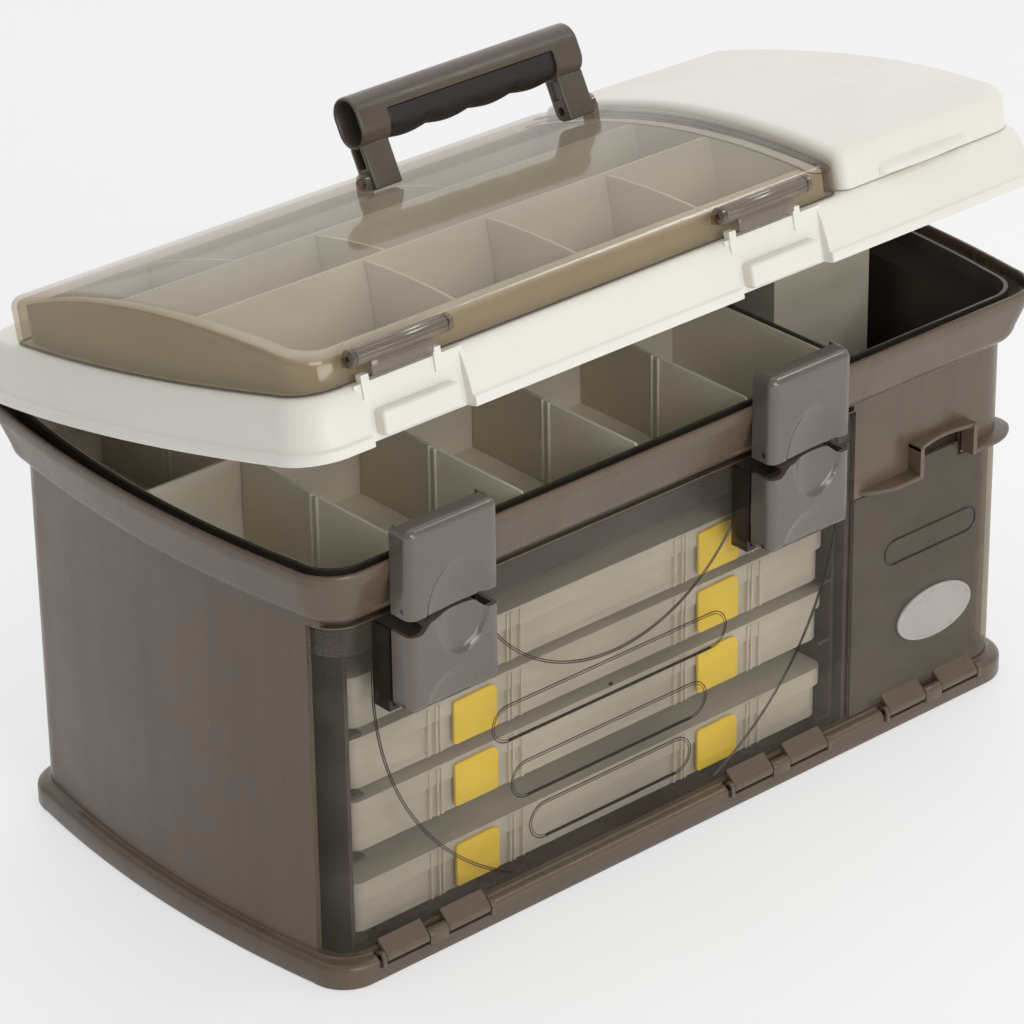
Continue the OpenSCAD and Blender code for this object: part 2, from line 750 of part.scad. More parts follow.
tray_low = rim_z + 11;
lid_tray_t = 2;
collar_in = 14;
arch_y = -8;                  // where the covers are highest
cover_in = base_inset;
cover_y = rim_y - cover_in;
cover_z = deck_z + 0.4;
arch_n = 16;
function crown_at(x) = x < seam_x
    ? crown_left + (crown_seam - crown_left) * (x - left_x) / (seam_x - left_x)
    : crown_seam + (crown_right - crown_seam) * (x - seam_x) / side_len;
function arch_k(x) = (crown_at(x) - front_edge_h) / pow(cover_y + arch_y, 2);
function arch_z(x, y, drop) = deck_z + crown_at(x) - drop - arch_k(x) * (y - arch_y) * (y - arch_y);
// profile of the covers at x, from front to back; drop and draw_in give the inner face
function arch_outline(x, drop, draw_in, low) = let(
    y0 = -cover_y + draw_in,
    y1 = cover_back - draw_in,
    ys = [for (k = [0:arch_n]) y0 + 6 + (y1 - y0 - 12) * k / arch_n]
) concat(
    [[y0, low], [y0, arch_z(x, y0 + 6, drop) - 6], [y0 + 1.8, arch_z(x, y0 + 6, drop) - 1.8]],
    [for (y = ys) [y, arch_z(x, y, drop)]],
    [[y1 - 1.8, arch_z(x, y1 - 6, drop) - 1.8], [y1, arch_z(x, y1 - 6, drop) - 6], [y1, low]]
);
slice = 0.02;
module arch_block(x0, x1, drop, draw_in, low) {
    hull() {
        along_x(x0, x0 + slice) polygon(arch_outline(x0, drop, draw_in, low));
        along_x(x1 - slice, x1) polygon(arch_outline(x1, drop, draw_in, low));
    }
}
module lid_tray() {
    wall_top = cover_t + 4;   // how far the tray's walls stay under the cover's crown line
    color("#d9d2c0") on_lid() difference() {
        intersection() {
            union() {
                tray_hole(tray_hole_in + gap, tray_hole_right - gap, tray_hole_back - gap, tray_low, deck_z + skin);
                tray_hole(collar_in, tray_hole_right + 4, tray_hole_back + 4, deck_z, far);
            }
            arch_block(left_x - side_bow, cover_right, wall_top, 3, 0);
        }
        for (rows = lid_rows)
            intersection() {
                tray_hole(tray_hole_in + gap + lid_tray_t, tray_hole_right - gap - lid_tray_t,
                          tray_hole_back - gap - lid_tray_t, tray_low + lid_tray_t, far);
                block([-far, rows[0] + lid_tray_t / 2, 0], [far, rows[1] - lid_tray_t / 2, far]);
            }
    }
}
row_1 = -55;
row_2 = 8;
lid_rows = [[-far, row_1], [row_1, row_2], [row_2, far]];
lid_front_y = rim_y - tray_hole_in - gap - lid_tray_t;
lid_rear_y = tray_hole_back - gap - lid_tray_t;
module lid_divider(x, y0, y1) {
    along_x(x - divider_t / 2, x + divider_t / 2) intersection() {
        polygon(arch_outline(x, cover_t + 5, 3, tray_low + lid_tray_t));
        translate([y0 + gap, 0]) square([y1 - y0 - 2 * gap, far]);
    }
}
function lid_x(k) = left_x + k * (cover_right - left_x);
module lid_tray_dividers() {
    half = lid_tray_t / 2;
    color("#d9d2c0") on_lid() {
        for (k = [0.316, 0.536, 0.763]) lid_divider(lid_x(k), -lid_front_y, row_1 - half);
        lid_divider(lid_x(0.36), row_1 + half, row_2 - half);
        for (k = [0.225, 0.613]) lid_divider(lid_x(k), row_2 + half, lid_rear_y);
    }
}
module lid_hinge_bracket(x) {
    third = lid_pad_w / 3;
    difference() {
        for (s = [-1, 1]) union() {
            rod(x + s * third - third / 2, x + s * third + third / 2, lid_axis_y, lid_axis_z, lid_knuckle_r - 1);
            block([x + s * third - third / 2, rim_y, lid_axis_z - 14],
                  [x + s * third + third / 2, lid_axis_y + lid_knuckle_r - 1, lid_axis_z]);
        }
        rod(x - lid_pad_w, x + lid_pad_w, lid_axis_y, lid_axis_z, bore_r);
    }
}
module lid_hinge_brackets() {
    color("#6b6056") for (x = lid_pads_x) lid_hinge_bracket(x);
}
module lid_hinge_pins() {
    color("#8c8c8c") for (x = lid_pads_x) rod(x - lid_pad_w / 2, x + lid_pad_w / 2, lid_axis_y, lid_axis_z, pin_r);
}
lid_back_y = rim_y + lip_over;
module lid_hinge_arms() {
    half = lid_pad_w / 6 - gap;
    color("#ebe8dc") on_lid() for (x = lid_pads_x) difference() {
        union() {
            rod(x - half, x + half, lid_axis_y, lid_axis_z, lid_knuckle_r - 1);
            block([x - half, lid_back_y - lip_over / 2, lid_axis_z + lip_h + 2.5],
                  [x + half, lid_axis_y + lid_knuckle_r - 1, lid_axis_z + lip_h + 5.5]);
            block([x - half, lid_axis_y, lid_axis_z],
                  [x + half, lid_axis_y + lid_knuckle_r - 1, lid_axis_z + lip_h + 5.5]);
        }
        rod(x - lid_pad_w, x + lid_pad_w, lid_axis_y, lid_axis_z, bore_r);
        slab(-lip_over / 2, 0, far);
    }
}

// ---- clear cover over the lid tray ----
cover_axis_y = cover_back + 5;
cover_axis_z = deck_z + 4.2;
knuckle_r = 3.6;
cover_hinge_w = 40;
cover_hinge_end = 60;
cover_hinge_xs = [left_x + cover_hinge_end + 7, (left_x + cover_right) / 2, cover_right - cover_hinge_end];
bulk_hinge_x = seam_x + 62;
module cover_lug(x) {
    for (s = [-1, 1]) difference() {
        union() {
            rod(x + s * (cover_hinge_w / 2 - 3) - 3, x + s * (cover_hinge_w / 2 - 3) + 3,
                cover_axis_y, cover_axis_z, knuckle_r);
            block([x + s * (cover_hinge_w / 2 - 3) - 3, cover_axis_y - knuckle_r, deck_z],
                  [x + s * (cover_hinge_w / 2 - 3) + 3, cover_axis_y + knuckle_r, cover_axis_z]);
        }
        rod(x - cover_hinge_w, x + cover_hinge_w, cover_axis_y, cover_axis_z, bore_r);
    }
}
module cover_barrel(x) {
    half = cover_hinge_w / 2 - 6 - gap;
    difference() {
        union() {
            rod(x - half, x + half, cover_axis_y, cover_axis_z, knuckle_r);
            block([x - half, cover_back, cover_axis_z - 2], [x + half, cover_axis_y, cover_axis_z + knuckle_r]);
        }
        rod(x - cover_hinge_w, x + cover_hinge_w, cover_axis_y, cover_axis_z, bore_r);
    }
}
module cover_pin(x) {
    rod(x - cover_hinge_w / 2, x + cover_hinge_w / 2, cover_axis_y, cover_axis_z, pin_r);
}
module cover_hinge_lugs() {
    color("#ebe8dc") on_lid() for (x = cover_hinge_xs) cover_lug(x);
}
module cover_hinge_pins() {
    color("#8c8c8c") on_lid() for (x = cover_hinge_xs) cover_pin(x);
}
module cover_hinge_barrels() {
    color([0.55, 0.5, 0.42, 0.7]) on_lid() for (x = cover_hinge_xs) cover_barrel(x);
}
foot_gap = 0.5;              // under the handle's feet
handle_z = arch_z(handle_x - handle_w / 2, handle_y - leg_t / 2, 0) + foot_gap + leg_t / 2;
ear_t = 4;
ear_r = 5;
function ear_span(s) = [min(s * (handle_w / 2 + gap), s * (handle_w / 2 + gap + ear_t)),
                        max(s * (handle_w / 2 + gap), s * (handle_w / 2 + gap + ear_t))];
module cover_block(grow, drop, low) {
    intersection() {
        slab(cover_in + grow, low, far);
        arch_block(left_x - side_bow, cover_right - grow, drop, grow, low);
    }
}
cover_latch_left_x = latch_left_x - 5;
cover_latch_right_x = latch_right_x - 6.5;
cover_latch_xs = [cover_latch_left_x, cover_latch_right_x];
roll_len = 60;
roll_r = 5;
roll_y = -cover_y - roll_r - 0.8;
roll_z = cover_z + 15;
module tray_cover() {
    color([0.55, 0.48, 0.37, 0.55]) on_lid() difference() {
        union() {
            difference() {
                cover_block(0, 0, cover_z);
                cover_block(cover_t, cover_t, cover_z - 1);
            }
            // lugs that carry the two latches
            for (x = cover_latch_xs, s = [-1, 1]) {
                rod(x + s * (roll_len / 2 + 2) - 1.5, x + s * (roll_len / 2 + 2) + 1.5, roll_y, roll_z, roll_r);
                block([x + s * (roll_len / 2 + 2) - 1.5, roll_y, roll_z - roll_r],
                      [x + s * (roll_len / 2 + 2) + 1.5, -cover_y + skin, roll_z]);
            }
            // ears outside the handle's feet
            for (s = [-1, 1], span = [ear_span(s) + [handle_x, handle_x]]) {
                rod(span[0], span[1], handle_y, handle_z, ear_r);
                block([span[0], handle_y - ear_r, arch_z(span[s > 0 ? 1 : 0], handle_y + ear_r, 0) - 1.5],
                      [span[1], handle_y + ear_r, handle_z]);
            }
        }
        for (x = cover_latch_xs) rod(x - roll_len, x + roll_len, roll_y, roll_z, bore_r);
        rod(handle_x - handle_w, handle_x + handle_w, handle_y, handle_z, handle_pin_r + pin_fit);
    }
}
module cover_latch_pins() {
    color("#8c8c8c") on_lid() for (x = cover_latch_xs)
        rod(x - roll_len / 2 - 3.5, x + roll_len / 2 + 3.5, roll_y, roll_z, pin_r);
}
module cover_latch(x) {
    half = roll_len / 2;
    color([0.5, 0.45, 0.4, 0.8]) on_lid() difference() {
        union() {
            rod(x - half, x + half, roll_y, roll_z, roll_r);
            block([x - tab_x + tab_w / 2 + 1, roll_y - 2, roll_z - 12.5], [x + tab_x - tab_w / 2 - 1, roll_y, roll_z]);
        }
        rod(x - roll_len, x + roll_len, roll_y, roll_z, bore_r);
    }
}

// ---- handle ----
handle_pin_r = 2.5;
grip_split = 2;              // how far above the bar's middle the grip meets the frame
// children are drawn round the pivot, with the legs upright
module on_handle() {
    on_lid() translate([handle_x, handle_y, handle_z]) rotate([-handle_lean, 0, 0]) children();
}
module bar_shape(t, h) {
    offset_z = (h - t) / 2;
    for (s = [-1, 1]) translate([0, handle_reach + s * offset_z]) circle(d = t);
    translate([-t / 2, handle_reach - offset_z]) square([t, 2 * offset_z]);
}
channel_wall = 2.5;
module handle_frame() {
    outer = handle_w / 2;
    color("#645a50") on_handle() difference() {
        union() {
            for (s = [-1, 1]) {
                x0 = min(s * (outer - leg_w), s * outer);
                along_x(x0, x0 + leg_w) {
                    bar_shape(bar_t, bar_h);
                    circle(d = leg_t);
                    translate([-leg_t / 2, -leg_t / 2]) square([leg_t / 2, leg_t]);
                    translate([-leg_t / 2, 0]) square([leg_t, handle_reach]);
                }
            }
            along_x(-outer, outer) intersection() {
                bar_shape(bar_t, bar_h);
                translate([-bar_t, handle_reach + grip_split]) square([2 * bar_t, bar_h]);
            }
        }
        // hollow ends of the grip bar, and the channels down the outside of the legs
        for (s = [-1, 1]) {
            along_x(min(s * (outer - 14), s * (outer + 1)), max(s * (outer - 14), s * (outer + 1)))
                bar_shape(bar_t - 2 * channel_wall, bar_h - 2 * channel_wall);
            block([min(s * (outer - leg_w + 4), s * (outer + 1)), -leg_t / 2 + channel_wall, leg_t / 2],
                  [max(s * (outer - leg_w + 4), s * (outer + 1)), leg_t / 2 - channel_wall,
                   handle_reach - bar_h / 2 - 1]);
        }
        rod(-outer - 1, outer + 1, 0, 0, handle_pin_r + pin_fit);
    }
}
wave_n = 4;
wave_r = 26;
module handle_grip() {
    half = handle_w / 2 - leg_w;
    pitch = 2 * half / wave_n;
    low = handle_reach - bar_h / 2 + 0.5;
    crest = wave_r - sqrt(wave_r * wave_r - pitch * pitch / 4);
    color("#37302d") on_handle() intersection() {
        along_x(-half, half) intersection() {
            bar_shape(bar_t - 1, bar_h - 1);
            translate([-bar_t, 0]) square([2 * bar_t, handle_reach + grip_split]);
        }
        // finger waves along the underside
        union() {
            block([-half, -bar_t, low + crest], [half, bar_t, handle_reach + bar_h]);
            for (k = [0:wave_n - 1]) translate([-half + (k + 0.5) * pitch, 0, low + wave_r])
                rotate([90, 0, 0]) cylinder(h = 2 * bar_t, r = wave_r, center = true, $fn = 96);
        }
    }
}
module handle_pins() {
    color("#4a423c") on_lid() for (s = [-1, 1], span = [ear_span(s)])
        rod(handle_x + (s > 0 ? span[0] - leg_w / 2 : span[0] - 1), handle_x + (s > 0 ? span[1] + 1 : span[1] + leg_w / 2),
            handle_y, handle_z, handle_pin_r);
}

// ---- bulk cover ----
bulk_left = cover_right + 1.5;
bulk_in = cover_in - 0.5;
bulk_rise = 2;                // how much higher the bulk cover is than the clear one
module bulk_block(grow, drop, low) {
    intersection() {
        slab(bulk_in + grow, low, far);
        arch_block(bulk_left + grow, right_x + side_bow, drop - bulk_rise, grow, low);
    }
}
pull_tab = [seam_x + 21, seam_x + 91];
module bulk_cover() {
    tab_mid = (pull_tab[0] + pull_tab[1]) / 2;
    color("#ebe8dc") on_lid() difference() {
        union() {
            bulk_block(0, 0, cover_z);
            block([pull_tab[0], -cover_y - 6.5, cover_z + 5], [pull_tab[1], -cover_y + 2, cover_z + 11]);
        }
        bulk_block(lid_t, lid_t, cover_z - 1);
        translate([tab_mid, -cover_y - 14, cover_z + 4]) rod(-20, 20, 0, 0, 9);
    }
}
module bulk_hinge_lugs() {
    color("#ebe8dc") on_lid() cover_lug(bulk_hinge_x);
}
module bulk_hinge_pin() {
    color("#8c8c8c") on_lid() cover_pin(bulk_hinge_x);
}
module bulk_hinge_barrel() {
    color("#ebe8dc") on_lid() cover_barrel(bulk_hinge_x);
}

case_shell();
bay_partition();
rack(-1);  // rack_left
rack(1);  // rack_right
top_liner();
divided_tray();
tray_dividers();
well_divider();
door_hinge_brackets();
door_hinge_pins();
side_hinge_brackets();
side_hinge_pin();
latch_brackets();
upper_latch_pins();
lid_hinge_brackets();
lid_hinge_pins();
lid_shell();
lid_tray();
lid_tray_dividers();
lid_hinge_arms();
cover_hinge_lugs();
cover_hinge_pins();
tray_cover();
cover_hinge_barrels();
cover_latch_pins();
cover_latch(cover_latch_left_x);  // cover_latch_left
cover_latch(cover_latch_right_x);  // cover_latch_right
handle_frame();
handle_grip();
handle_pins();
bulk_cover();
bulk_hinge_lugs();
bulk_hinge_pin();
bulk_hinge_barrel();
front_door();
front_door_barrels();
door_latch_brackets();
lower_latch_pins();
side_door();
side_door_barrels();
side_badge();
upper_latch(latch_left_x);  // upper_latch_left
upper_latch(latch_right_x);  // upper_latch_right
lower_latch(latch_left_x);  // lower_latch_left
lower_latch(latch_right_x);  // lower_latch_right
box_base(box_z[0], box_h);  // box_1_base
box_lid(box_z[0], box_h);  // box_1_lid
box_latches(box_z[0]);  // box_1_latches
box_base(box_z[1], box_h);  // box_2_base
box_lid(box_z[1], box_h);  // box_2_lid
box_latches(box_z[1]);  // box_2_latches
box_base(box_z[2], box_h);  // box_3_base
box_lid(box_z[2], box_h);  // box_3_lid
box_latches(box_z[2]);  // box_3_latches
box_base(box_z[3], box_h);  // box_4_base
box_lid(box_z[3], box_h);  // box_4_lid
box_latches(box_z[3]);  // box_4_latches
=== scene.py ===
import bpy, bmesh, json, math
from mathutils import Matrix, Vector


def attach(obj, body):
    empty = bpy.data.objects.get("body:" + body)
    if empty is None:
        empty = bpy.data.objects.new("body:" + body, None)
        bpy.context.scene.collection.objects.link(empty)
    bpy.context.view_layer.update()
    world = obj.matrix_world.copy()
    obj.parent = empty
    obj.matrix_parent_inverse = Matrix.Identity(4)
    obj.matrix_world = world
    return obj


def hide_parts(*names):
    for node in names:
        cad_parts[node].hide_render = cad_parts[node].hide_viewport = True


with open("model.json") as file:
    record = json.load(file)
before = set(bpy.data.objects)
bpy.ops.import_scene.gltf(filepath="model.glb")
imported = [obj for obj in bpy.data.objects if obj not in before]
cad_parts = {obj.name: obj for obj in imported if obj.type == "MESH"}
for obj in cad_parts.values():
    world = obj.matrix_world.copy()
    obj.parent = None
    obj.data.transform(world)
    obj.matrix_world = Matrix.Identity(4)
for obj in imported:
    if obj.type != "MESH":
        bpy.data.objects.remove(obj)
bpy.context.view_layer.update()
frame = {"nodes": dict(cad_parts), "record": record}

# -------------------- sizes, in mm, with the lid drawn shut
HALF_L, HALF_D = 267.0, 151.0  # half length and half depth of the rim
BOW, RIM_R = 14.0, 26.0  # how far its ends bow out, and its corners
WALL = 14.0  # the case wall, in from the rim
WALL_Y = WALL - HALF_D  # front face of the case and of the doors
SPLIT_X = 128  # between the two doors, where the covers' ridge bends
DECK = 290.0  # top of the lid
LID_Y, LID_Z = 158.0, 257.5  # axis of the lid's hinges
HINGES = (-170, 0, 170)  # their middles in X
SEAM = 290.4  # lower edge of both covers
COVER_END, COVER_BACK = 119.5, 108.0  # right end of the tray cover, rear edge of both covers
COVER_FACE = -143.4  # just inside the front of both covers
COVER_WALL, BULK_WALL = 2.5, 3.0
BULK_START = 121.0  # left end of the bulk cover
LATCHES = (-197.0, 62.5)  # middles of the main latches
ROLLS = {"left": -202, "right": 56}  # middles of the roll latches
ROLL_Y, ROLL_Z, ROLL_R = -149.3, 305.4, 5  # their axis and radius
DOOR_HINGES = {"front": (-194, 66), "side": (192,)}  # middles of the doors' hinges
BARREL_Y, BARREL_Z, BARREL_R = -141.5, 13.5, 3.75  # axis and radius of those hinges
PIN_HOLE = 1.65  # radius of the hole for a hinge pin
FAR = 400  # past every side of the cabinet
CROWN_LEFT, CROWN_SPLIT, CROWN_RIGHT = 42, 37, 27  # rise of the covers' ridge over the deck
EAVES = 20  # rise of their front edge
RIDGE_Y, RIDGE_HALF = -8, 135.5  # place of the ridge, and its distance to that edge
BAR_HALF = 81.5  # half width of the handle
BAR_T, BAR_H, BAR_MID = 23, 30.5, 32.75  # thickness and height of its bar, and its middle over the pivot
LEG_R = 6.25  # half depth of its legs
HANDLE_X, HANDLE_Y = 7.5, 26.0  # place of the handle's pivot on the tray cover


def arch(x, y, drop=0.0):
    """Height of the covers above the floor at x, y: a ridge that falls off to the front and the back."""
    if x < SPLIT_X:
        crown = CROWN_LEFT - (CROWN_LEFT - CROWN_SPLIT) * (x + HALF_L) / (SPLIT_X + HALF_L)
    else:
        crown = CROWN_SPLIT - (CROWN_SPLIT - CROWN_RIGHT) * (x - SPLIT_X) / (HALF_L - SPLIT_X)
    return DECK + crown - drop - (crown - EAVES) * ((y - RIDGE_Y) / RIDGE_HALF) ** 2


PIVOT = (HANDLE_X, HANDLE_Y, arch(HANDLE_X - BAR_HALF, HANDLE_Y - LEG_R) + 6.75)
LEAN = Matrix.Translation(PIVOT) @ Matrix.Rotation(math.radians(-16), 4, "X")
AJAR = (Matrix.Translation((0, LID_Y, LID_Z)) @ Matrix.Rotation(math.radians(-12), 4, "X")
        @ Matrix.Translation((0, -LID_Y, -LID_Z)))
TO_METRES = Matrix.Scale(0.001, 4)


# -------------------- shader helpers
def new_material(name):
    """A material, its node tree and its Principled node."""
    m = bpy.data.materials.new(name)
    m.use_nodes = True
    return m, m.node_tree, m.node_tree.nodes["Principled BSDF"]


def link(nt, source, target):
    nt.links.new(source, target)


def coords(nt, kind="Object"):
    return nt.nodes.new("ShaderNodeTexCoord").outputs[kind]


def noise(nt, coord, scale, detail=3.0, rough=0.5, stretch=None):
    """Noise from 0 to 1; stretch scales its coordinates axis by axis."""
    n = nt.nodes.new("ShaderNodeTexNoise")
    n.inputs["Scale"].default_value = scale
    n.inputs["Detail"].default_value = detail
    n.inputs["Roughness"].default_value = rough
    if stretch:
        mapping = nt.nodes.new("ShaderNodeMapping")
        mapping.inputs["Scale"].default_value = stretch
        link(nt, coord, mapping.inputs["Vector"])
        coord = mapping.outputs["Vector"]
    link(nt, coord, n.inputs["Vector"])
    return n.outputs["Fac"]


def two_tone(nt, fac, low, high):
    """A colour that runs from low to high in the middle of fac's range."""
    n = nt.nodes.new("ShaderNodeValToRGB")
    for stop, place, col in zip(n.color_ramp.elements, (0.3, 0.7), (low, high)):
        stop.position = place
        stop.color = (*col, 1)
    link(nt, fac, n.inputs["Fac"])
    return n.outputs["Color"]


def remap(nt, fac, from_lo, from_hi, to_lo, to_hi):
    """fac taken from one range to another, and held inside it."""
    n = nt.nodes.new("ShaderNodeMapRange")
    for socket, v in zip(("From Min", "From Max", "To Min", "To Max"), (from_lo, from_hi, to_lo, to_hi)):
        n.inputs[socket].default_value = v
    link(nt, fac, n.inputs["Value"])
    return n.outputs["Result"]


def toward(nt, fac, base, col):
    """The colour base, turned into the fixed colour col as fac grows."""
    n = nt.nodes.new("ShaderNodeMix")
    n.data_type = "RGBA"
    link(nt, fac, n.inputs[0])
    link(nt, base, n.inputs[6])
    n.inputs[7].default_value = (*col, 1)
    return n.outputs[2]


def calc(nt, operation, *sources):
    """A math node on one or two sockets."""
    n = nt.nodes.new("ShaderNodeMath")
    n.operation = operation
    for socket, source in zip(n.inputs, sources):
        link(nt, source, socket)
    return n.outputs[0]


def mix_shaders(nt, fac, low, high):
    """Shows the shader high where fac is 1 and low where it is 0."""
    n = nt.nodes.new("ShaderNodeMixShader")
    for socket, source in zip(n.inputs, (fac, low, high)):
        link(nt, source, socket)
    link(nt, n.outputs["Shader"], nt.nodes["Material Output"].inputs["Surface"])


def shade(col, k):
    return tuple(min(1, max(0, x * k)) for x in col)


# -------------------- materials
def plastic(name, col, rough, vary, grain, grain_size, edge, streak=0.0, scuff=0.0, spec=0.5):
    """A moulded plastic: cloudy tone, fine grain, uneven gloss and paler convex edges."""
    m, nt, p = new_material(name)
    co = coords(nt)
    c = two_tone(nt, noise(nt, co, 14, 4, 0.55), shade(col, 1 - vary), shade(col, 1 + vary))
    if streak:
        upright = noise(nt, co, 60, 3, 0.6, (1, 1, 0.06))
        c = toward(nt, remap(nt, upright, 0.42, 0.62, 0, streak), c, shade(col, 0.72))
    speck = noise(nt, co, 1000 / grain_size, 2, 0.6)
    c = toward(nt, remap(nt, speck, 0.35, 0.65, 0, 0.10), c, shade(col, 1.35))
    # paler along the convex edges, where pointiness is high
    convex_edges = nt.nodes.new("ShaderNodeNewGeometry").outputs["Pointiness"]
    c = toward(nt, remap(nt, convex_edges, 0.515, 0.60, 0, edge), c, shade(col, 1.55))
    if scuff:
        marks = noise(nt, co, 90, 6, 0.75, (1, 0.35, 1))
        c = toward(nt, remap(nt, marks, 0.64, 0.72, 0, scuff), c, shade(col, 0.62))
    link(nt, c, p.inputs["Base Color"])
    gloss = remap(nt, noise(nt, co, 45, 4, 0.6), 0.3, 0.7, rough - 0.06, rough + 0.08)
    link(nt, gloss, p.inputs["Roughness"])
    p.inputs["Specular IOR Level"].default_value = spec
    bump = nt.nodes.new("ShaderNodeBump")
    bump.inputs["Strength"].default_value = grain
    bump.inputs["Distance"].default_value = 0.0004
    link(nt, speck, bump.inputs["Height"])
    link(nt, bump.outputs["Normal"], p.inputs["Normal"])
    return m


def clear(name, tint, body, haze, rough, dust=0.12, ior=1.5, gloss=1.5, wall=None):
    """A see-through moulding: tinted, a little milky, with faint dust and wipe marks.

    It turns milky and mirrors more at low angles (ior and gloss); wall is the darker tint of its upright
    faces, painted shade for sides that get less light."""
    m, nt, p = new_material(name)
    co = coords(nt)
    tone = two_tone(nt, noise(nt, co, 9, 3, 0.5), shade(tint, 0.96), shade(tint, 1.03))
    # upright faces turn toward the darker wall tint: painted shade
    if wall:
        parts = nt.nodes.new("ShaderNodeSeparateXYZ")
        link(nt, coords(nt, "Normal"), parts.inputs[0])
        level = calc(nt, "ABSOLUTE", parts.outputs["Z"])
        tone = toward(nt, remap(nt, level, 0.35, 0.8, 1, 0), tone, wall)
    through = nt.nodes.new("ShaderNodeBsdfTransparent")
    link(nt, tone, through.inputs["Color"])
    link(nt, two_tone(nt, noise(nt, co, 12), shade(body, 0.92), shade(body, 1.08)), p.inputs["Base Color"])
    p.inputs["Specular IOR Level"].default_value = 1.0 if gloss > 1.5 else 0.5
    p.inputs["IOR"].default_value = gloss
    link(nt, remap(nt, noise(nt, co, 70, 5, 0.65), 0.4, 0.75, rough, rough + 0.08), p.inputs["Roughness"])
    wiped = remap(nt, noise(nt, co, 30, 6, 0.7, (0.4, 1.4, 1.4)), 0.45, 0.8, haze, haze + dust)
    fresnel = nt.nodes.new("ShaderNodeFresnel")
    fresnel.inputs["IOR"].default_value = ior
    behind = nt.nodes.new("ShaderNodeNewGeometry").outputs["Backfacing"]
    low_angle = calc(nt, "MULTIPLY", fresnel.outputs["Fac"], remap(nt, behind, 0, 1, 1, 0))
    mix_shaders(nt, calc(nt, "MAXIMUM", wiped, low_angle), through.outputs["BSDF"], p.outputs["BSDF"])
    return m


def steel(name):
    """A drawn pin: dark steel with fine lines round it."""
    m, nt, p = new_material(name)
    n = noise(nt, coords(nt), 300, 4, 0.6, (0.1, 1, 1))
    link(nt, two_tone(nt, n, (0.07, 0.065, 0.06), (0.15, 0.14, 0.135)), p.inputs["Base Color"])
    link(nt, remap(nt, n, 0.3, 0.7, 0.28, 0.42), p.inputs["Roughness"])
    p.inputs["Metallic"].default_value = 1.0
    return m


# colour, roughness, cloudiness, depth and size of the grain, how pale convex edges are
PLASTICS = {
    "bronze_plastic": ((0.120, 0.083, 0.055), 0.29, 0.06, 0.06, 0.8, 0.35),
    "dark_plastic": ((0.035, 0.027, 0.022), 0.36, 0.1, 0.08, 0.8, 0.3),
    "liner_plastic": ((0.030, 0.023, 0.018), 0.38, 0.1, 0.08, 0.8, 0.35),
    # tray_plastic is paler than the tray itself: painted light making up for the lid's shade
    "tray_plastic": ((0.60, 0.545, 0.44), 0.45, 0.05, 0.10, 0.8, 0.2),
    "ivory_plastic": ((0.78, 0.755, 0.68), 0.42, 0.025, 0.14, 0.9, 0.1),
    "pale_tray_plastic": ((0.66, 0.62, 0.535), 0.45, 0.04, 0.1, 0.9, 0.15),
    "latch_plastic": ((0.114, 0.092, 0.078), 0.22, 0.04, 0.04, 0.7, 0.3),
    "handle_plastic": ((0.096, 0.074, 0.055), 0.31, 0.07, 0.10, 0.7, 0.3),
    "grip_rubber": ((0.016, 0.012, 0.011), 0.5, 0.1, 0.8, 1.6, 0.2),
    "badge_plastic": ((0.40, 0.375, 0.335), 0.30, 0.05, 0.06, 0.7, 0.2),
    "yellow_plastic": ((0.90, 0.62, 0.035), 0.38, 0.08, 0.12, 0.8, 0.2)}
# dark upright streaks, dark scuff marks and a stronger mirror image, where a plastic has them
EXTRAS = {
    "bronze_plastic": dict(streak=0.35, scuff=0.07),
    "ivory_plastic": dict(scuff=0.05),
    "latch_plastic": dict(scuff=0.04, spec=0.85),
    "handle_plastic": dict(scuff=0.1)}
CLEARS = {
    # smoke_clear's wall tint darkens the cover's upright sides: painted shade
    "smoke_clear": dict(tint=(0.93, 0.905, 0.87), body=(0.36, 0.33, 0.28), haze=0.05, rough=0.05, ior=2.0,
                        gloss=2.2, wall=(0.82, 0.77, 0.68)),
    "smoke_edge": dict(tint=(0.74, 0.67, 0.59), body=(0.27, 0.23, 0.19), haze=0.30, rough=0.07, ior=1.9,
                       gloss=1.9),
    "roll_clear": dict(tint=(0.72, 0.65, 0.57), body=(0.30, 0.25, 0.205), haze=0.42, rough=0.10, dust=0.02,
                       ior=1.8, gloss=1.8),
    # smoke_dark is near black: painted shade on the door and cover lines and in the latch pocket
    "smoke_dark": dict(tint=(0.50, 0.43, 0.35), body=(0.045, 0.035, 0.027), haze=0.62, rough=0.07, ior=1.6),
    "door_clear": dict(tint=(0.955, 0.94, 0.915), body=(0.36, 0.32, 0.27), haze=0.06, rough=0.06, dust=0.06),
    "side_clear": dict(tint=(0.72, 0.66, 0.58), body=(0.24, 0.20, 0.16), haze=0.33, rough=0.09),
    # box_clear's body is paler than the boxes: painted light making up for the shade inside the case
    "box_clear": dict(tint=(0.95, 0.94, 0.915), body=(0.84, 0.79, 0.71), haze=0.50, rough=0.2)}
MATERIALS = {name: plastic(name, *values, **EXTRAS.get(name, {})) for name, values in PLASTICS.items()}
MATERIALS.update((name, clear(name, **values)) for name, values in CLEARS.items())
MATERIALS["steel_pin"] = steel("steel_pin")


# -------------------- mesh helpers
def add_object(name, data):
    o = bpy.data.objects.new(name, data)
    bpy.context.scene.collection.objects.link(o)
    return o


def merge(*parts):
    """All parts in one mesh."""
    out = bmesh.new()
    for part in parts:
        me = bpy.data.meshes.new("part")
        part.to_mesh(me)
        out.from_mesh(me)
        bpy.data.meshes.remove(me)
        part.free()
    return out


def tidy(bm, weld=0.002):
    """Welds points that coincide and turns all faces outward."""
    bmesh.ops.remove_doubles(bm, verts=bm.verts, dist=weld)
    bmesh.ops.recalc_face_normals(bm, faces=bm.faces)
    return bm


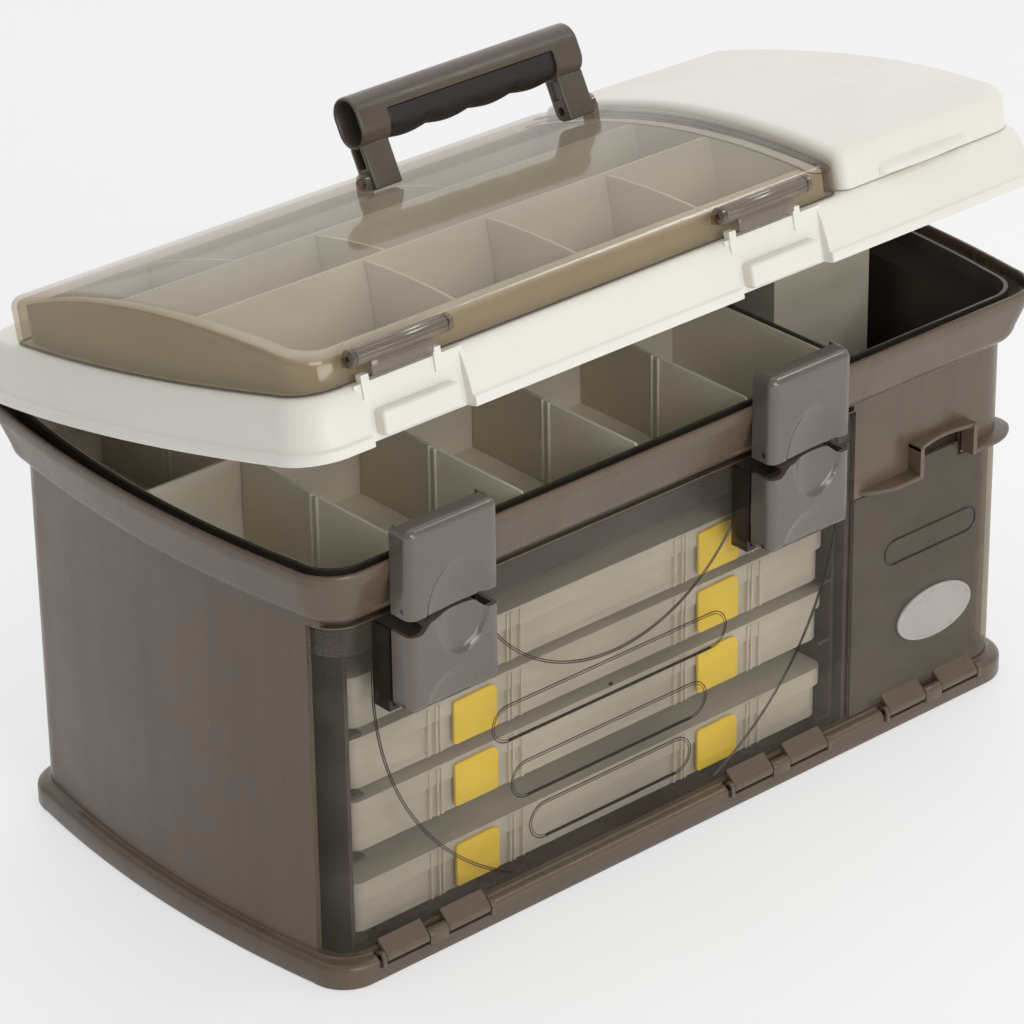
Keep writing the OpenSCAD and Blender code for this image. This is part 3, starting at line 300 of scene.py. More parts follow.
def put(name, bm, body, mat, tilt=False, smooth=32, replaces=(), pre=None):
    """Makes the piece: moved by pre, tilted with the ajar lid, in metres, smooth below an angle."""
    if pre:
        bmesh.ops.transform(bm, matrix=pre, verts=bm.verts)
    if tilt:
        bmesh.ops.transform(bm, matrix=AJAR, verts=bm.verts)
    bmesh.ops.transform(bm, matrix=TO_METRES, verts=bm.verts)
    me = bpy.data.meshes.new(name)
    bm.to_mesh(me)
    bm.free()
    for p in me.polygons:
        p.use_smooth = True
    me.set_sharp_from_angle(angle=math.radians(smooth))
    me.materials.append(MATERIALS[mat])
    o = add_object(name, me)
    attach(o, body)
    if replaces:
        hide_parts(*replaces)


def boolean(bm, cutters, operation="DIFFERENCE"):
    """bm without its cutters, or its common part with them."""
    def as_object(part):
        me = bpy.data.meshes.new("part")
        part.to_mesh(me)
        part.free()
        return add_object("part", me)
    base = as_object(bm)
    others = [as_object(cutter) for cutter in cutters]
    for o in others:
        md = base.modifiers.new("cut", "BOOLEAN")
        md.operation, md.object, md.solver = operation, o, "EXACT"
    result = bpy.data.meshes.new_from_object(base.evaluated_get(bpy.context.evaluated_depsgraph_get()))
    out = bmesh.new()
    out.from_mesh(result)
    for o in [base] + others:
        me = o.data
        bpy.data.objects.remove(o)
        bpy.data.meshes.remove(me)
    bpy.data.meshes.remove(result)
    return out


def bevel(bm, width, seg=2, angle=30):
    """Rounds the edges that turn by more than angle degrees."""
    edges = [e for e in bm.edges if len(e.link_faces) == 2 and e.calc_face_angle(0) > math.radians(angle)]
    if edges:
        bmesh.ops.bevel(bm, geom=edges, offset=width, segments=seg, profile=0.5, affect="EDGES",
                        clamp_overlap=True, offset_type="OFFSET")
    return bm


def soften(node, width, mat):
    """A CAD solid with its edges rounded, shown in its place."""
    bm = bmesh.new()
    bm.from_mesh(frame["nodes"][node].data)
    bmesh.ops.transform(bm, matrix=Matrix.Scale(1000, 4), verts=bm.verts)
    bmesh.ops.remove_doubles(bm, verts=bm.verts, dist=0.005)
    bmesh.ops.dissolve_limit(bm, angle_limit=math.radians(0.6), verts=bm.verts, edges=bm.edges)
    bodies = frame["record"]["behaviour"]["bodies"]
    owner = next(body for body, nodes in bodies.items() if node in nodes)
    put("show_" + node, bevel(bm, width, 2, 40), owner, mat, replaces=(node,))


def cube(lo, hi, r=0.0, seg=2):
    """A box with its edges rounded by r."""
    bm = bmesh.new()
    (x0, y0, z0), (x1, y1, z1) = lo, hi
    v = [bm.verts.new((x, y, z)) for z in (z0, z1) for x, y in ((x0, y0), (x1, y0), (x1, y1), (x0, y1))]
    for face in ((0, 3, 2, 1), (4, 5, 6, 7), (0, 1, 5, 4), (1, 2, 6, 5), (2, 3, 7, 6), (3, 0, 4, 7)):
        bm.faces.new([v[i] for i in face])
    return bevel(bm, r, seg) if r else bm


def rbox(lo, hi, r, step, n, shape=None):
    """A box with rounded edges as an even grid, so that shape(x, y, z, normal) can move its points."""
    lo, hi = Vector(lo), Vector(hi)
    in_lo, in_hi = lo + Vector((r,) * 3), hi - Vector((r,) * 3)
    bm = bmesh.new()
    seen = {}

    def ticks(k):
        """Grid places along axis k, closer where the edges turn."""
        count = max(1, round((in_hi[k] - in_lo[k]) / step))
        turn = [r * (1 - math.cos(math.pi / 2 * i / n)) for i in range(n)]
        flat = [in_lo[k] + (in_hi[k] - in_lo[k]) * i / count for i in range(count + 1)]
        return [lo[k] + t for t in turn] + flat + [hi[k] - t for t in reversed(turn)]

    def vert(p):
        """The point p of the sharp box, drawn in to the rounded one."""
        key = tuple(round(c, 4) for c in p)
        if key not in seen:
            core = Vector([min(max(p[k], in_lo[k]), in_hi[k]) for k in range(3)])
            normal = (Vector(p) - core).normalized()
            v = core + normal * r
            seen[key] = bm.verts.new(shape(v.x, v.y, v.z, normal) if shape else v)
        return seen[key]

    grid = [ticks(k) for k in range(3)]
    for k in range(3):
        a, b = [j for j in range(3) if j != k]
        for end in (lo[k], hi[k]):
            for i in range(len(grid[a]) - 1):
                for j in range(len(grid[b]) - 1):
                    quad = []
                    for u, w in ((i, j), (i + 1, j), (i + 1, j + 1), (i, j + 1)):
                        p = [0, 0, 0]
                        p[k], p[a], p[b] = end, grid[a][u], grid[b][w]
                        quad.append(vert(p))
                    bm.faces.new(quad)
    return tidy(bm)


def loft(rings, closed=False):
    """A skin through rings of points, capped at both ends unless its last ring joins the first."""
    bm = bmesh.new()
    rows = [[bm.verts.new(p) for p in ring] for ring in rings]
    n = len(rings[0])
    for a, b in list(zip(rows, rows[1:])) + ([(rows[-1], rows[0])] if closed else []):
        for i in range(n):
            j = (i + 1) % n
            bm.faces.new((a[i], a[j], b[j], b[i]))
    if not closed:
        bm.faces.new(list(reversed(rows[0])))
        bm.faces.new(rows[-1])
    bmesh.ops.recalc_face_normals(bm, faces=bm.faces)
    return bm


def angles(n):
    """n even steps round a circle."""
    return [2 * math.pi * k / n for k in range(n)]


def tube(points, r, n, closed=False):
    """A round bar along points."""
    pts = [Vector(p) for p in points]
    count = len(pts)
    rings = []
    for i, p in enumerate(pts):
        before = pts[(i - 1) % count] if closed or i > 0 else pts[0]
        after = pts[(i + 1) % count] if closed or i < count - 1 else pts[-1]
        along = (after - before).normalized()
        side = along.cross(Vector((0, 0, 1)))
        if side.length < 1e-4:
            side = along.cross(Vector((0, 1, 0)))
        side.normalize()
        up = side.cross(along)
        rings.append([p + side * (r * math.cos(t)) + up * (r * math.sin(t)) for t in angles(n)])
    return loft(rings, closed)


def rod(x0, x1, y, z, r, n=32, ease=0.4):
    """A round bar along X with eased ends."""
    stations = [(x0, r - ease), (x0 + ease, r), (x1 - ease, r), (x1, r - ease)]
    return loft([[(x, y + q * math.cos(t), z + q * math.sin(t)) for t in angles(n)] for x, q in stations])


def smooth_step(t):
    return t * t * (3 - 2 * t)


def end_x(half_l, half_d, y):
    """Half length at y of an outline with bowed ends."""
    return half_l + BOW * (1 - (y / half_d) ** 2)


def plan(inset, nc=10, ns=26):
    """The rim's outline moved in by inset, from its front right corner round by the back."""
    half_l, half_d, r = HALF_L - inset, HALF_D - inset, RIM_R - 0.4 * inset
    cy = half_d - r
    cx = end_x(half_l, half_d, cy) - r

    def corner(x, y, start):
        turn = [math.radians(start + 90 * k / nc) for k in range(nc + 1)]
        return [(x + r * math.cos(a), y + r * math.sin(a)) for a in turn]
    side = [(end_x(half_l, half_d, y), y) for y in (cy * (2 * k / ns - 1) for k in range(1, ns))]
    return (corner(cx, -cy, -90) + side + corner(cx, cy, 0)
            + corner(-cx, cy, 90) + [(-x, -y) for x, y in side] + corner(-cx, -cy, 180))


def stack(profile, **detail):
    """A solid that has the rim's outline moved in by inset at height z, for each (inset, z) in profile."""
    return loft([[(x, y, z) for x, y in plan(inset, **detail)] for inset, z in profile])


# -------------------- case
CASE_PROFILE = [
    # the flared base and its rounded foot
    (9.2, 0), (8.0, 0.4), (7.5, 1.6), (7.5, 11.0), (7.7, 12.3), (8.4, 13.5), (9.4, 14.4), (10.6, 14.9),
    (13.1, 15.2), (13.8, 15.8),
    # the wall
    (WALL, 17), (WALL, 70), (WALL, 120), (WALL, 170), (WALL, 220.6),
    # the shoulder under the rim and the band that leans out to it
    (13.85, 222.2), (13.2, 223.1), (12.0, 223.8), (10.3, 224.7), (8.8, 226.0), (7.6, 227.8), (6.8, 230),
    (6.3, 232.5), (0.5, 249.6),
    # the rolled rim
    (0.1, 251.4), (0, 253), (0, 255.6), (0.25, 256.6), (0.8, 257.3), (1.5, 257.5), (2.2, 257.3),
    (2.7, 256.6),
    # the inside, down to the floor
    (3, 255.5), (3, 251), (17, 232), (17, 120), (17, 6), (17.6, 4), (19.5, 3)]
openings = [
    cube((-FAR, -FAR, 16.5), (SPLIT_X - 0.01, -117, 217.5)),  # behind the front door
    cube((SPLIT_X - 1, -FAR, 16.5), (FAR, -117, 161)),  # behind the side door
    cube((-FAR, -FAR, 218.4), (126.5, -126, 222.0)),  # the shadow line over the front door
    cube((175, -FAR, 160), (216, -133, 177))]  # the finger gap in the ledge
clip_beds = [cube((x - 41, -FAR, 8.5), (x + 41, WALL_Y, 16)) for xs in DOOR_HINGES.values() for x in xs]
put("case_body", boolean(stack(CASE_PROFILE), openings + clip_beds), "cabinet", "bronze_plastic",
    replaces=("case_shell",))


def rim_pads(name, xs, half, y0, y1):
    """Flat blocks on the rim band, one behind each latch or hinge."""
    for k, x in enumerate(xs):
        put("%s_pad_%d" % (name, k), cube((x - half, y0, 228), (x + half, y1, 250), 1.2), "cabinet",
            "bronze_plastic")


rim_pads("latch", LATCHES, 24, 0.1 - HALF_D, -143.5)
rim_pads("hinge", HINGES, 30, 143.5, HALF_D - 0.1)


def ledge(path, reach, low, high):
    """A shelf from low to high that stands out from the case wall along path, by reach(0) to reach(1)."""
    rings = []
    last = len(path) - 1
    root = -1.5
    r = min(1.1, (high - low) / 2)
    for i, (x, y) in enumerate(path):
        before, after = Vector(path[max(0, i - 1)]), Vector(path[min(last, i + 1)])
        along = (after - before).normalized()
        out = reach(i / last)
        section = [(root, low), (out - r, low), (out - 0.3 * r, low + 0.3 * r), (out, low + r),
                   (out, high - r), (out - 0.3 * r, high - 0.3 * r), (out - r, high), (root, high)]
        rings.append([(x + along.y * s, y - along.x * s, z) for s, z in section])
    return loft(rings)


def wall_path(x0, x1=None, step=2.0):
    """Points along the case's front wall from x0 to x1, or from x0 on round the right corner."""
    corner_y = -118
    corner = sorted((x, y) for x, y in plan(WALL, nc=16) if x > 0 and y < corner_y + 4)
    front = corner[0][0]
    stop = front if x1 is None else x1
    count = math.ceil((stop - x0 - 1e-6) / step)
    line = [(x0 + k * step, WALL_Y) for k in range(count)] + [(stop, WALL_Y)]
    if x1 is None:
        line += [(x, y) for x, y in corner if x > front + 0.5 and y <= corner_y]
    return line


right_path = [p for p in wall_path(217.5) if p[0] < 257]
# name: path, how far it stands out, lower and upper face
LEDGES = {
    "left": (wall_path(132, 173.5), lambda t: 10 * math.sin(min(1, 2 * t) * math.pi / 2) ** 0.8, 162, 165),
    "right": (right_path, lambda t: 8.5 * min(1, 4 * (1 - t)) ** 0.6, 162, 165),
    "top": (wall_path(172, 219, 1.5), lambda t: 9.9 - 4.5 * math.sin(math.pi * t), 180, 182.9)}
for name, values in LEDGES.items():
    put("ledge_" + name, ledge(*values), "cabinet", "bronze_plastic")
for k, x in enumerate((172, 216)):
    put("ledge_ear_%d" % k, cube((x, -146.9, 163), (x + 3, -136, 182), 0.8), "cabinet", "bronze_plastic")

# -------------------- lid
NOTCH_HALF, CHEEK_T = 34, 2.2  # half width of a latch notch, thickness of its side walls
LID_PROFILE = [
    # the inside, down from the deck to the lip
    (9.5, 287), (5.6, 284.4), (4.0, 279.8), (2.6, 272), (1.2, 265), (-0.8, 262.4), (-1, 258.4),
    # the lip
    (-1.6, 257.8), (-2.8, 257.8), (-3.7, 258.1), (-4, 259), (-4, 262.3), (-3.75, 263.3), (-3.1, 263.9),
    (-2.4, 264.1), (-1.9, 264.7),
    # the side, up to the deck's rounded edge
    (-1.75, 266), (-1.2, 269.5), (-0.2, 274.5), (0.9, 279.3), (2.1, 283.3), (3.6, 286.7), (5.3, 288.9),
    (7.0, 289.8), (9, DECK)]


def deck_opening(x0, x1):
    """What is cut out of the deck from x0 to x1, following the outline of the lid."""
    block = stack([(20, DECK - 10), (20, DECK + 10)])
    return boolean(block, [cube((x0, -FAR, 275), (x1, 96, 305))], "INTERSECT")


lid = boolean(stack(LID_PROFILE, nc=12, ns=30),
              [deck_opening(-FAR, 108.5), deck_opening(139.5, FAR)]
              + [cube((x - NOTCH_HALF, -FAR, 200), (x + NOTCH_HALF, -147, FAR)) for x in LATCHES]
              + [rod(x - 30, x + 30, LID_Y, LID_Z, 7, ease=0.1) for x in HINGES])
put("lid_body", tidy(lid), "lid", "ivory_plastic", tilt=True, replaces=("lid_shell",))


def cheek(x0):
    """The side wall of a latch notch."""
    profile = [(-144.6, 257.9), (-153.9, 257.9), (-154.6, 258.6), (-154.6, 262.6), (-152.6, 264.4),
               (-152.1, 267), (-151.0, 274), (-149.4, 281.5), (-148.0, 285.5), (-146.2, 288.6),
               (-144.6, 289.4)]
    return loft([[(x, y, z) for y, z in profile] for x in (x0, x0 + CHEEK_T)])


for k, x in enumerate(LATCHES):
    x0, x1 = x - NOTCH_HALF - 2, x + NOTCH_HALF + 2
    back = cube((x0, -147.1, 257.9), (x1, -144.6, 289.9), 0.3, 1)
    put("lid_notch_%d" % k, merge(back, cheek(x0), cheek(x1 - CHEEK_T)), "lid", "ivory_plastic", tilt=True)
    put("catch_bar_%d" % k, rbox((x - 26, -154.9, 260.8), (x + 26, -145, 274.4), 2.0, 4, 4), "lid",
        "ivory_plastic", tilt=True)
for k, x in enumerate([c + s * 24 for c in ROLLS.values() for s in (-1, 1)]):
    put("lid_tab_%d" % k, cube((x - 2.5, -148.4, 281.5), (x + 2.5, -143.9, 294.4), 0.6), "lid",
        "ivory_plastic", tilt=True)


# -------------------- covers
def cut(poly, axis, limit, side):
    """The part of poly that lies past limit on an axis, on its upper (1) or lower (-1) side."""
    out = []
    for a, b in zip(poly, poly[1:] + poly[:1]):
        keep_a, keep_b = [side * (p[axis] - limit) >= 0 for p in (a, b)]
        if keep_a:
            out.append(a)
        if keep_a != keep_b:
            out.append(a.lerp(b, (limit - a[axis]) / (b[axis] - a[axis])))
    return out


def without_repeats(poly, gap=0.05):
    """poly without points closer than gap."""
    clean = []
    for p in poly:
        if not clean or (p - clean[-1]).length > gap:
            clean.append(p)
    if (clean[0] - clean[-1]).length < gap:
        clean.pop()
    return clean


def round_corners(poly, r, n=6):
    """poly with its sharp corners rounded by r, or less beside a short side."""
    out = []
    for i, p in enumerate(poly):
        a, b = poly[i - 1], poly[(i + 1) % len(poly)]
        u, w = (a - p).normalized(), (b - p).normalized()
        opening = u.angle(w)
        if opening < math.radians(140):
            d = min(r / math.tan(opening / 2), (a - p).length * 0.8, (b - p).length * 0.8)
            fit = d * math.tan(opening / 2)
            centre = p + (u + w).normalized() * (fit / math.sin(opening / 2))
            first, last = p + u * d - centre, p + w * d - centre
            a0, a1 = math.atan2(first.y, first.x), math.atan2(last.y, last.x)
            a1 -= 2 * math.pi * round((a1 - a0) / (2 * math.pi))
            turn = [a0 + (a1 - a0) * k / n for k in range(n + 1)]
            out += [Vector((centre.x + fit * math.cos(t), centre.y + fit * math.sin(t))) for t in turn]
        else:
            out.append(p)
    return out


def subdivide(poly, longest=5):
    """poly with its long sides split."""
    fine = []
    for a, b in zip(poly, poly[1:] + poly[:1]):
        parts = max(1, math.ceil((b - a).length / longest))
        fine += [a.lerp(b, k / parts) for k in range(parts)]
    return fine


def clip_plan(inset, r, x0=-FAR, x1=FAR, y1=COVER_BACK):
    """The rim's outline moved in by inset and cut at x0, x1 and y1, its new corners rounded by r."""
    pts = [Vector(p) for p in plan(inset, nc=12, ns=40)]
    pts = cut(cut(cut(pts, 0, x0, 1), 0, x1, -1), 1, y1, -1)
    return subdivide(round_corners(without_repeats(pts), r))


def offset_in(poly, d):
    """poly moved in by d."""
    out = []
    for i, p in enumerate(poly):
        a, b = poly[i - 1], poly[(i + 1) % len(poly)]
        u, w = (p - a).normalized(), (b - p).normalized()
        na, nb = Vector((-u.y, u.x)), Vector((-w.y, w.x))
        out.append(p + (na + nb) / max(0.2, 1 + na.dot(nb)) * d)
    return out


def dome(outline, z0, top, fillet):
    """A closed block with straight sides and a top that follows top(x, y), its upper edge rounded."""
    foot, turns, step = 0.5, 6, 7.0
    rings = [[(p.x, p.y, z0) for p in offset_in(outline, foot)], [(p.x, p.y, z0 + foot) for p in outline]]
    for k in range(turns + 1):
        a = math.pi / 2 * k / turns
        inner = offset_in(outline, fillet * (1 - math.cos(a)))
        rings.append([(p.x, p.y, top(p.x, p.y) - fillet * (1 - math.sin(a))) for p in inner])
    bm = loft(rings)
    bm.faces.ensure_lookup_table()
    cap = max((f for f in bm.faces if len(f.verts) > 20), key=lambda f: f.calc_center_median().z)
    geom = [cap] + list(cap.verts) + list(cap.edges)
    for axis, spacing in ((1, step), (0, 4 * step)):
        places = [v.co[axis] for v in cap.verts]
        c = min(places) + spacing
        while c < max(places) - 1:
            co, no = [0, 0, 0], [0, 0, 0]
            co[axis], no[axis] = c, 1
            halves = bmesh.ops.bisect_plane(bm, geom=geom, plane_co=co, plane_no=no)
            geom = [g for g in set(halves["geom"]) | set(geom) if g.is_valid]
            for g in halves["geom_cut"]:
                if isinstance(g, bmesh.types.BMVert) and g.co.z > z0 + 5:
                    g.co.z = top(g.co.x, g.co.y)
            c += spacing
    return bm


hollow = dome(clip_plan(10, 7, x1=COVER_END - COVER_WALL, y1=COVER_BACK - COVER_WALL), DECK - 5,
              lambda x, y: arch(x, y, COVER_WALL), 4.2)
cover = boolean(dome(clip_plan(7.5, 8, x1=COVER_END), SEAM, arch, 6), [hollow])
put("cover_body", tidy(cover), "tray_cover", "smoke_clear", tilt=True, smooth=40, replaces=("tray_cover",))


def cover_line(r, height, inset, corner, **ends):
    """A line round the tray cover at height(x, y), drawn dark as painted shade of its edges."""
    loop = [(p.x, p.y, height(p.x, p.y)) for p in clip_plan(inset, corner, **ends)]
    return tube(loop, r, 8, closed=True)


painted_shade_line = cover_line(0.5, lambda x, y: SEAM + 0.5, 8.6, 7, x1=COVER_END - 1.1, y1=COVER_BACK - 1.1)
end_line = cover_line(0.3, lambda x, y: arch(x, y, 6), 9.0, 7, x0=COVER_END - 16, x1=COVER_END - 1.4,
                      y1=COVER_BACK - 1.5)
end_panel = cover_line(0.4, lambda x, y: arch(x, y, 2.8), 14.5, 3, x0=COVER_END - 12, x1=COVER_END - 5.5,
                       y1=COVER_BACK - 8)
# near-black smoke: painted shade along the cover's lower edge and at its right end
put("cover_lines", merge(painted_shade_line, end_line, end_panel), "tray_cover", "smoke_dark", tilt=True)

for k, y in enumerate((-55, 8)):
    x = -end_x(HALF_L - 20.35, HALF_D - 20.35, y)
    rib = cube((x - 1.6, y - 1.2, 290.6), (x + 1, y + 1.2, arch(x, y) - 9), 0.5)
    put("lid_tray_rib_%d" % k, rib, "lid", "ivory_plastic", tilt=True)


def roll_ring(x, ease):
    """One section of a roll latch: round, with six shallow grooves."""
    ring = []
    for t in angles(60):
        r = ROLL_R - 0.5 * max(0.0, math.cos(6 * t)) ** 4 - ease
        ring.append((x, ROLL_Y + r * math.cos(t), ROLL_Z + r * math.sin(t)))
    return ring


for name, c in ROLLS.items():
    for k, s in enumerate((-1, 1)):
        x0, x1 = c + s * 32 - 1.5, c + s * 32 + 1.5
        lug = merge(rod(x0, x1, ROLL_Y, ROLL_Z, ROLL_R, ease=0.5),
                    cube((x0, ROLL_Y, ROLL_Z - ROLL_R), (x1, COVER_FACE, ROLL_Z), 0.4))
        put("roll_lug_%s_%d" % (name, k), lug, "tray_cover", "smoke_edge", tilt=True)
    stations = [(-30, 0.7), (-29.6, 0.25), (-29, 0), (29, 0), (29.6, 0.25), (30, 0.7)]
    roll = boolean(loft([roll_ring(c + x, ease) for x, ease in stations]),
                   [rod(c - 40, c + 40, ROLL_Y, ROLL_Z, PIN_HOLE, ease=0.01)])
    flap = rbox((c - 20.5, ROLL_Y - 2, ROLL_Z - 12.5), (c + 20.5, ROLL_Y, ROLL_Z - 4), 0.9, 6, 3)
    put("roll_" + name, merge(roll, flap), "cover_latch_" + name, "roll_clear", tilt=True,
        replaces=("cover_latch_" + name,))

hollow = dome(clip_plan(10, 7, x0=BULK_START + BULK_WALL, y1=COVER_BACK - BULK_WALL), DECK - 5,
              lambda x, y: arch(x, y, BULK_WALL - 2), 4)
bulk = boolean(dome(clip_plan(7.0, 8, x0=BULK_START), SEAM, lambda x, y: arch(x, y, -2), 6.5), [hollow])
put("bulk_body", tidy(bulk), "bulk_cover", "ivory_plastic", tilt=True, smooth=40, replaces=("bulk_cover",))


def tab_ring(t):
    """One section of the bulk cover's finger tab, from its left end (0) to its right end (1)."""
    x, y, z = 149 + 70 * t, COVER_FACE, 292.2
    out = 0.6 + 6.2 * math.sin(math.pi * min(1, 0.93 * t + 0.07)) ** 0.5 * min(1, 25 * t + 0.3)
    top = 300.6 - 1.9 * t
    return [(x, y + 1.6, z), (x, y - out + 1.0, z), (x, y - out + 0.3, z + 0.3), (x, y - out, z + 1.0),
            (x, y - out, z + 2.4), (x, y - out + 0.3, z + 3.3), (x, y - out + 1.2, z + 4.1),
            (x, y - 0.35 * out, z + 5.5), (x, y - 0.1, top - 0.8), (x, y + 1.6, top)]


put("bulk_tab", loft([tab_ring(k / 40) for k in range(41)]), "bulk_cover", "ivory_plastic", tilt=True)


# -------------------- handle, drawn upright with its pivot at the origin
def bar_section(t, h, n=16):
    """The bar's rounded upright section in Y and Z, t thick and h high."""
    r, d = t / 2, (h - t) / 2
    turn = [math.pi * k / n for k in range(n + 1)]
    return ([(r * math.cos(a), BAR_MID + d + r * math.sin(a)) for a in turn]
            + [(-r * math.cos(a), BAR_MID - d - r * math.sin(a)) for a in turn])


def bar_block(stations, t=BAR_T, h=BAR_H):
    """A length of bar through stations (x, how much it is drawn in there)."""
    return loft([[(x, y, z) for y, z in bar_section(t - 2 * e, h - 2 * e)] for x, e in stations])


END_WALL = 2.3  # wall of the bar round the hollows in its ends
ends_eased = [(0, 1.1), (0.3, 0.5), (1, 0.1), (1.8, 0)]
frame_bar = bar_block([(x - BAR_HALF, e) for x, e in ends_eased]
                      + [(BAR_HALF - x, e) for x, e in reversed(ends_eased)])
grip_room = rbox((20 - BAR_HALF, -20, 0), (BAR_HALF - 20, 20, BAR_MID + 2), 1.6, 20, 3)
end_hollows = [bar_block([(s * (BAR_HALF + x), e) for x, e in
                          ((-13.5, 0), (-1.2, 0), (-0.4, -0.5), (0.1, -1.0), (2, -1.0))],
                         BAR_T - 2 * END_WALL, BAR_H - 2 * END_WALL) for s in (-1, 1)]
put("handle_bar", tidy(boolean(frame_bar, [grip_room] + end_hollows)), "handle", "handle_plastic", tilt=True,
    pre=LEAN, smooth=38, replaces=("handle_frame",))


def leg_hollow(x0, x1):
    """A hollow in a leg, open to the side or to the bar."""
    return rbox((min(x0, x1), -3.4, 6.5), (max(x0, x1), 3.9, 30), 1.0, 8, 3)


leg_top = 19.6
foot = [math.radians(a) for a in range(0, 91, 15)]
leg_profile = ([(-LEG_R, -LEG_R)] + [(LEG_R * math.sin(a), -LEG_R * math.cos(a)) for a in foot]
               + [(LEG_R, leg_top), (-LEG_R, leg_top)])
for k, s in enumerate((-1, 1)):
    sides = sorted((s * BAR_HALF, s * (BAR_HALF - 19)))
    leg = bevel(loft([[(x, y, z) for y, z in leg_profile] for x in sides]), 1.1, 3, 40)
    cuts = [rod(-200, 200, 0, 0, 2.55, ease=0.01),
            leg_hollow(s * (BAR_HALF - 15), s * (BAR_HALF + 3)),
            leg_hollow(s * (BAR_HALF - 22), s * (BAR_HALF - 17.4))]
    put("handle_leg_%d" % k, boolean(leg, cuts), "handle", "handle_plastic", tilt=True, pre=LEAN)

FINGER, FINGER_R = 31.25, 26  # pitch and radius of the grip's finger arcs
GRIP_HALF, GRIP_T, GRIP_H = 61.2, 21.6, 29.2  # half width, thickness and height


def grip_low(x):
    """Lower edge of the grip: shallow finger arcs on a gentle wave."""
    d = ((x / FINGER) % 1.0 - 0.5) * FINGER
    arc = FINGER_R - math.sqrt(FINGER_R ** 2 - d * d)
    return 17.9 + 0.3 * arc + 0.2 * math.cos(2 * math.pi * x / FINGER)


def grip_ring(x):
    """One section of the grip: its lower half drawn to grip_low, its top flat with a middle rib."""
    e = 0.9 * max(0, 1 - (GRIP_HALF - abs(x)) / 1.2)
    ring = []
    for y, z in bar_section(GRIP_T - 2 * e, GRIP_H - 2 * e, 20):
        if z < BAR_MID:
            z = BAR_MID - (BAR_MID - z) * (BAR_MID - grip_low(x) - e) / (GRIP_H / 2)
        top = 34.2 - e + (0.5 + e if abs(y) < 8 else 0)
        ring.append((x, y, min(z, top)))
    return ring


grip = loft([grip_ring(-GRIP_HALF + 2 * GRIP_HALF * k / 120) for k in range(121)])
put("grip_body", tidy(grip, 0.02), "handle", "grip_rubber", tilt=True, pre=LEAN, smooth=45,
    replaces=("handle_grip",))

for k, s in enumerate((-1, 1)):
    x0, x1 = sorted((HANDLE_X + s * (BAR_HALF + 0.4), HANDLE_X + s * (BAR_HALF + 4.4)))
    foot_z = arch(x1 if s > 0 else x0, HANDLE_Y + 5) - 1.5
    ear = merge(rod(x0, x1, HANDLE_Y, PIVOT[2], 5, ease=0.7),
                cube((x0, HANDLE_Y - 5, foot_z), (x1, HANDLE_Y + 5, PIVOT[2]), 0.5))
    put("handle_ear_%d" % k, ear, "tray_cover", "smoke_edge", tilt=True)

# -------------------- main latches
LATCH_HALF, LATCH_WALL = 30.5, 2.6  # half width of a latch, wall of its top and sides
LATCH_FRONT, LATCH_BACK = -167, -151.4  # its face and its rear edge
LATCH_PIN_Y = -160.5
CORE_HALF = 19  # half width of the thicker middle of its face
UPPER_Z, LOWER_Z = (227, 279), (170.8, 222.8)  # lower and upper edge of an upper and of a lower latch


def bowl(x, z, middle, radii, depth, powers, toward_x=1.0, toward_z=0.0):
    """Depth of a finger bowl; its rim goes from the first power to the second across the bowl."""
    u, w = (x - middle[0]) / radii[0], (z - middle[1]) / radii[1]
    q = 1 - u * u - w * w
    if q <= 0:
        return 0.0
    t = min(1.0, max(0.0, (u * toward_x + w * toward_z + 1) / 2))
    return depth * q ** (powers[0] + (powers[1] - powers[0]) * smooth_step(t))


def upper_bowl(x, z):
    return bowl(x, z, (4, 225), (23, 29), 5.2, (0.6, 1.5))


def lower_bowls(x, z):
    return max(bowl(x, z, (5, 224), (19, 27), 5.0, (1.4, 0.5), 0.6, -0.8),
               bowl(x, z, (5, 169), (26, 22), 3.2, (0.6, 1.5)))


def tongue(x):
    """Lower edge of an upper latch: straight with a shallow round tongue."""
    return UPPER_Z[0] - 2.4 * math.sqrt(max(0.0, 1 - (x / 18) ** 2))


def wave(x):
    """Upper edge of a lower latch: a hump between two dips."""
    t = min(1, max(0, abs(x) - 15) / 8.5)
    return LOWER_Z[1] - 5.6 * smooth_step(t)


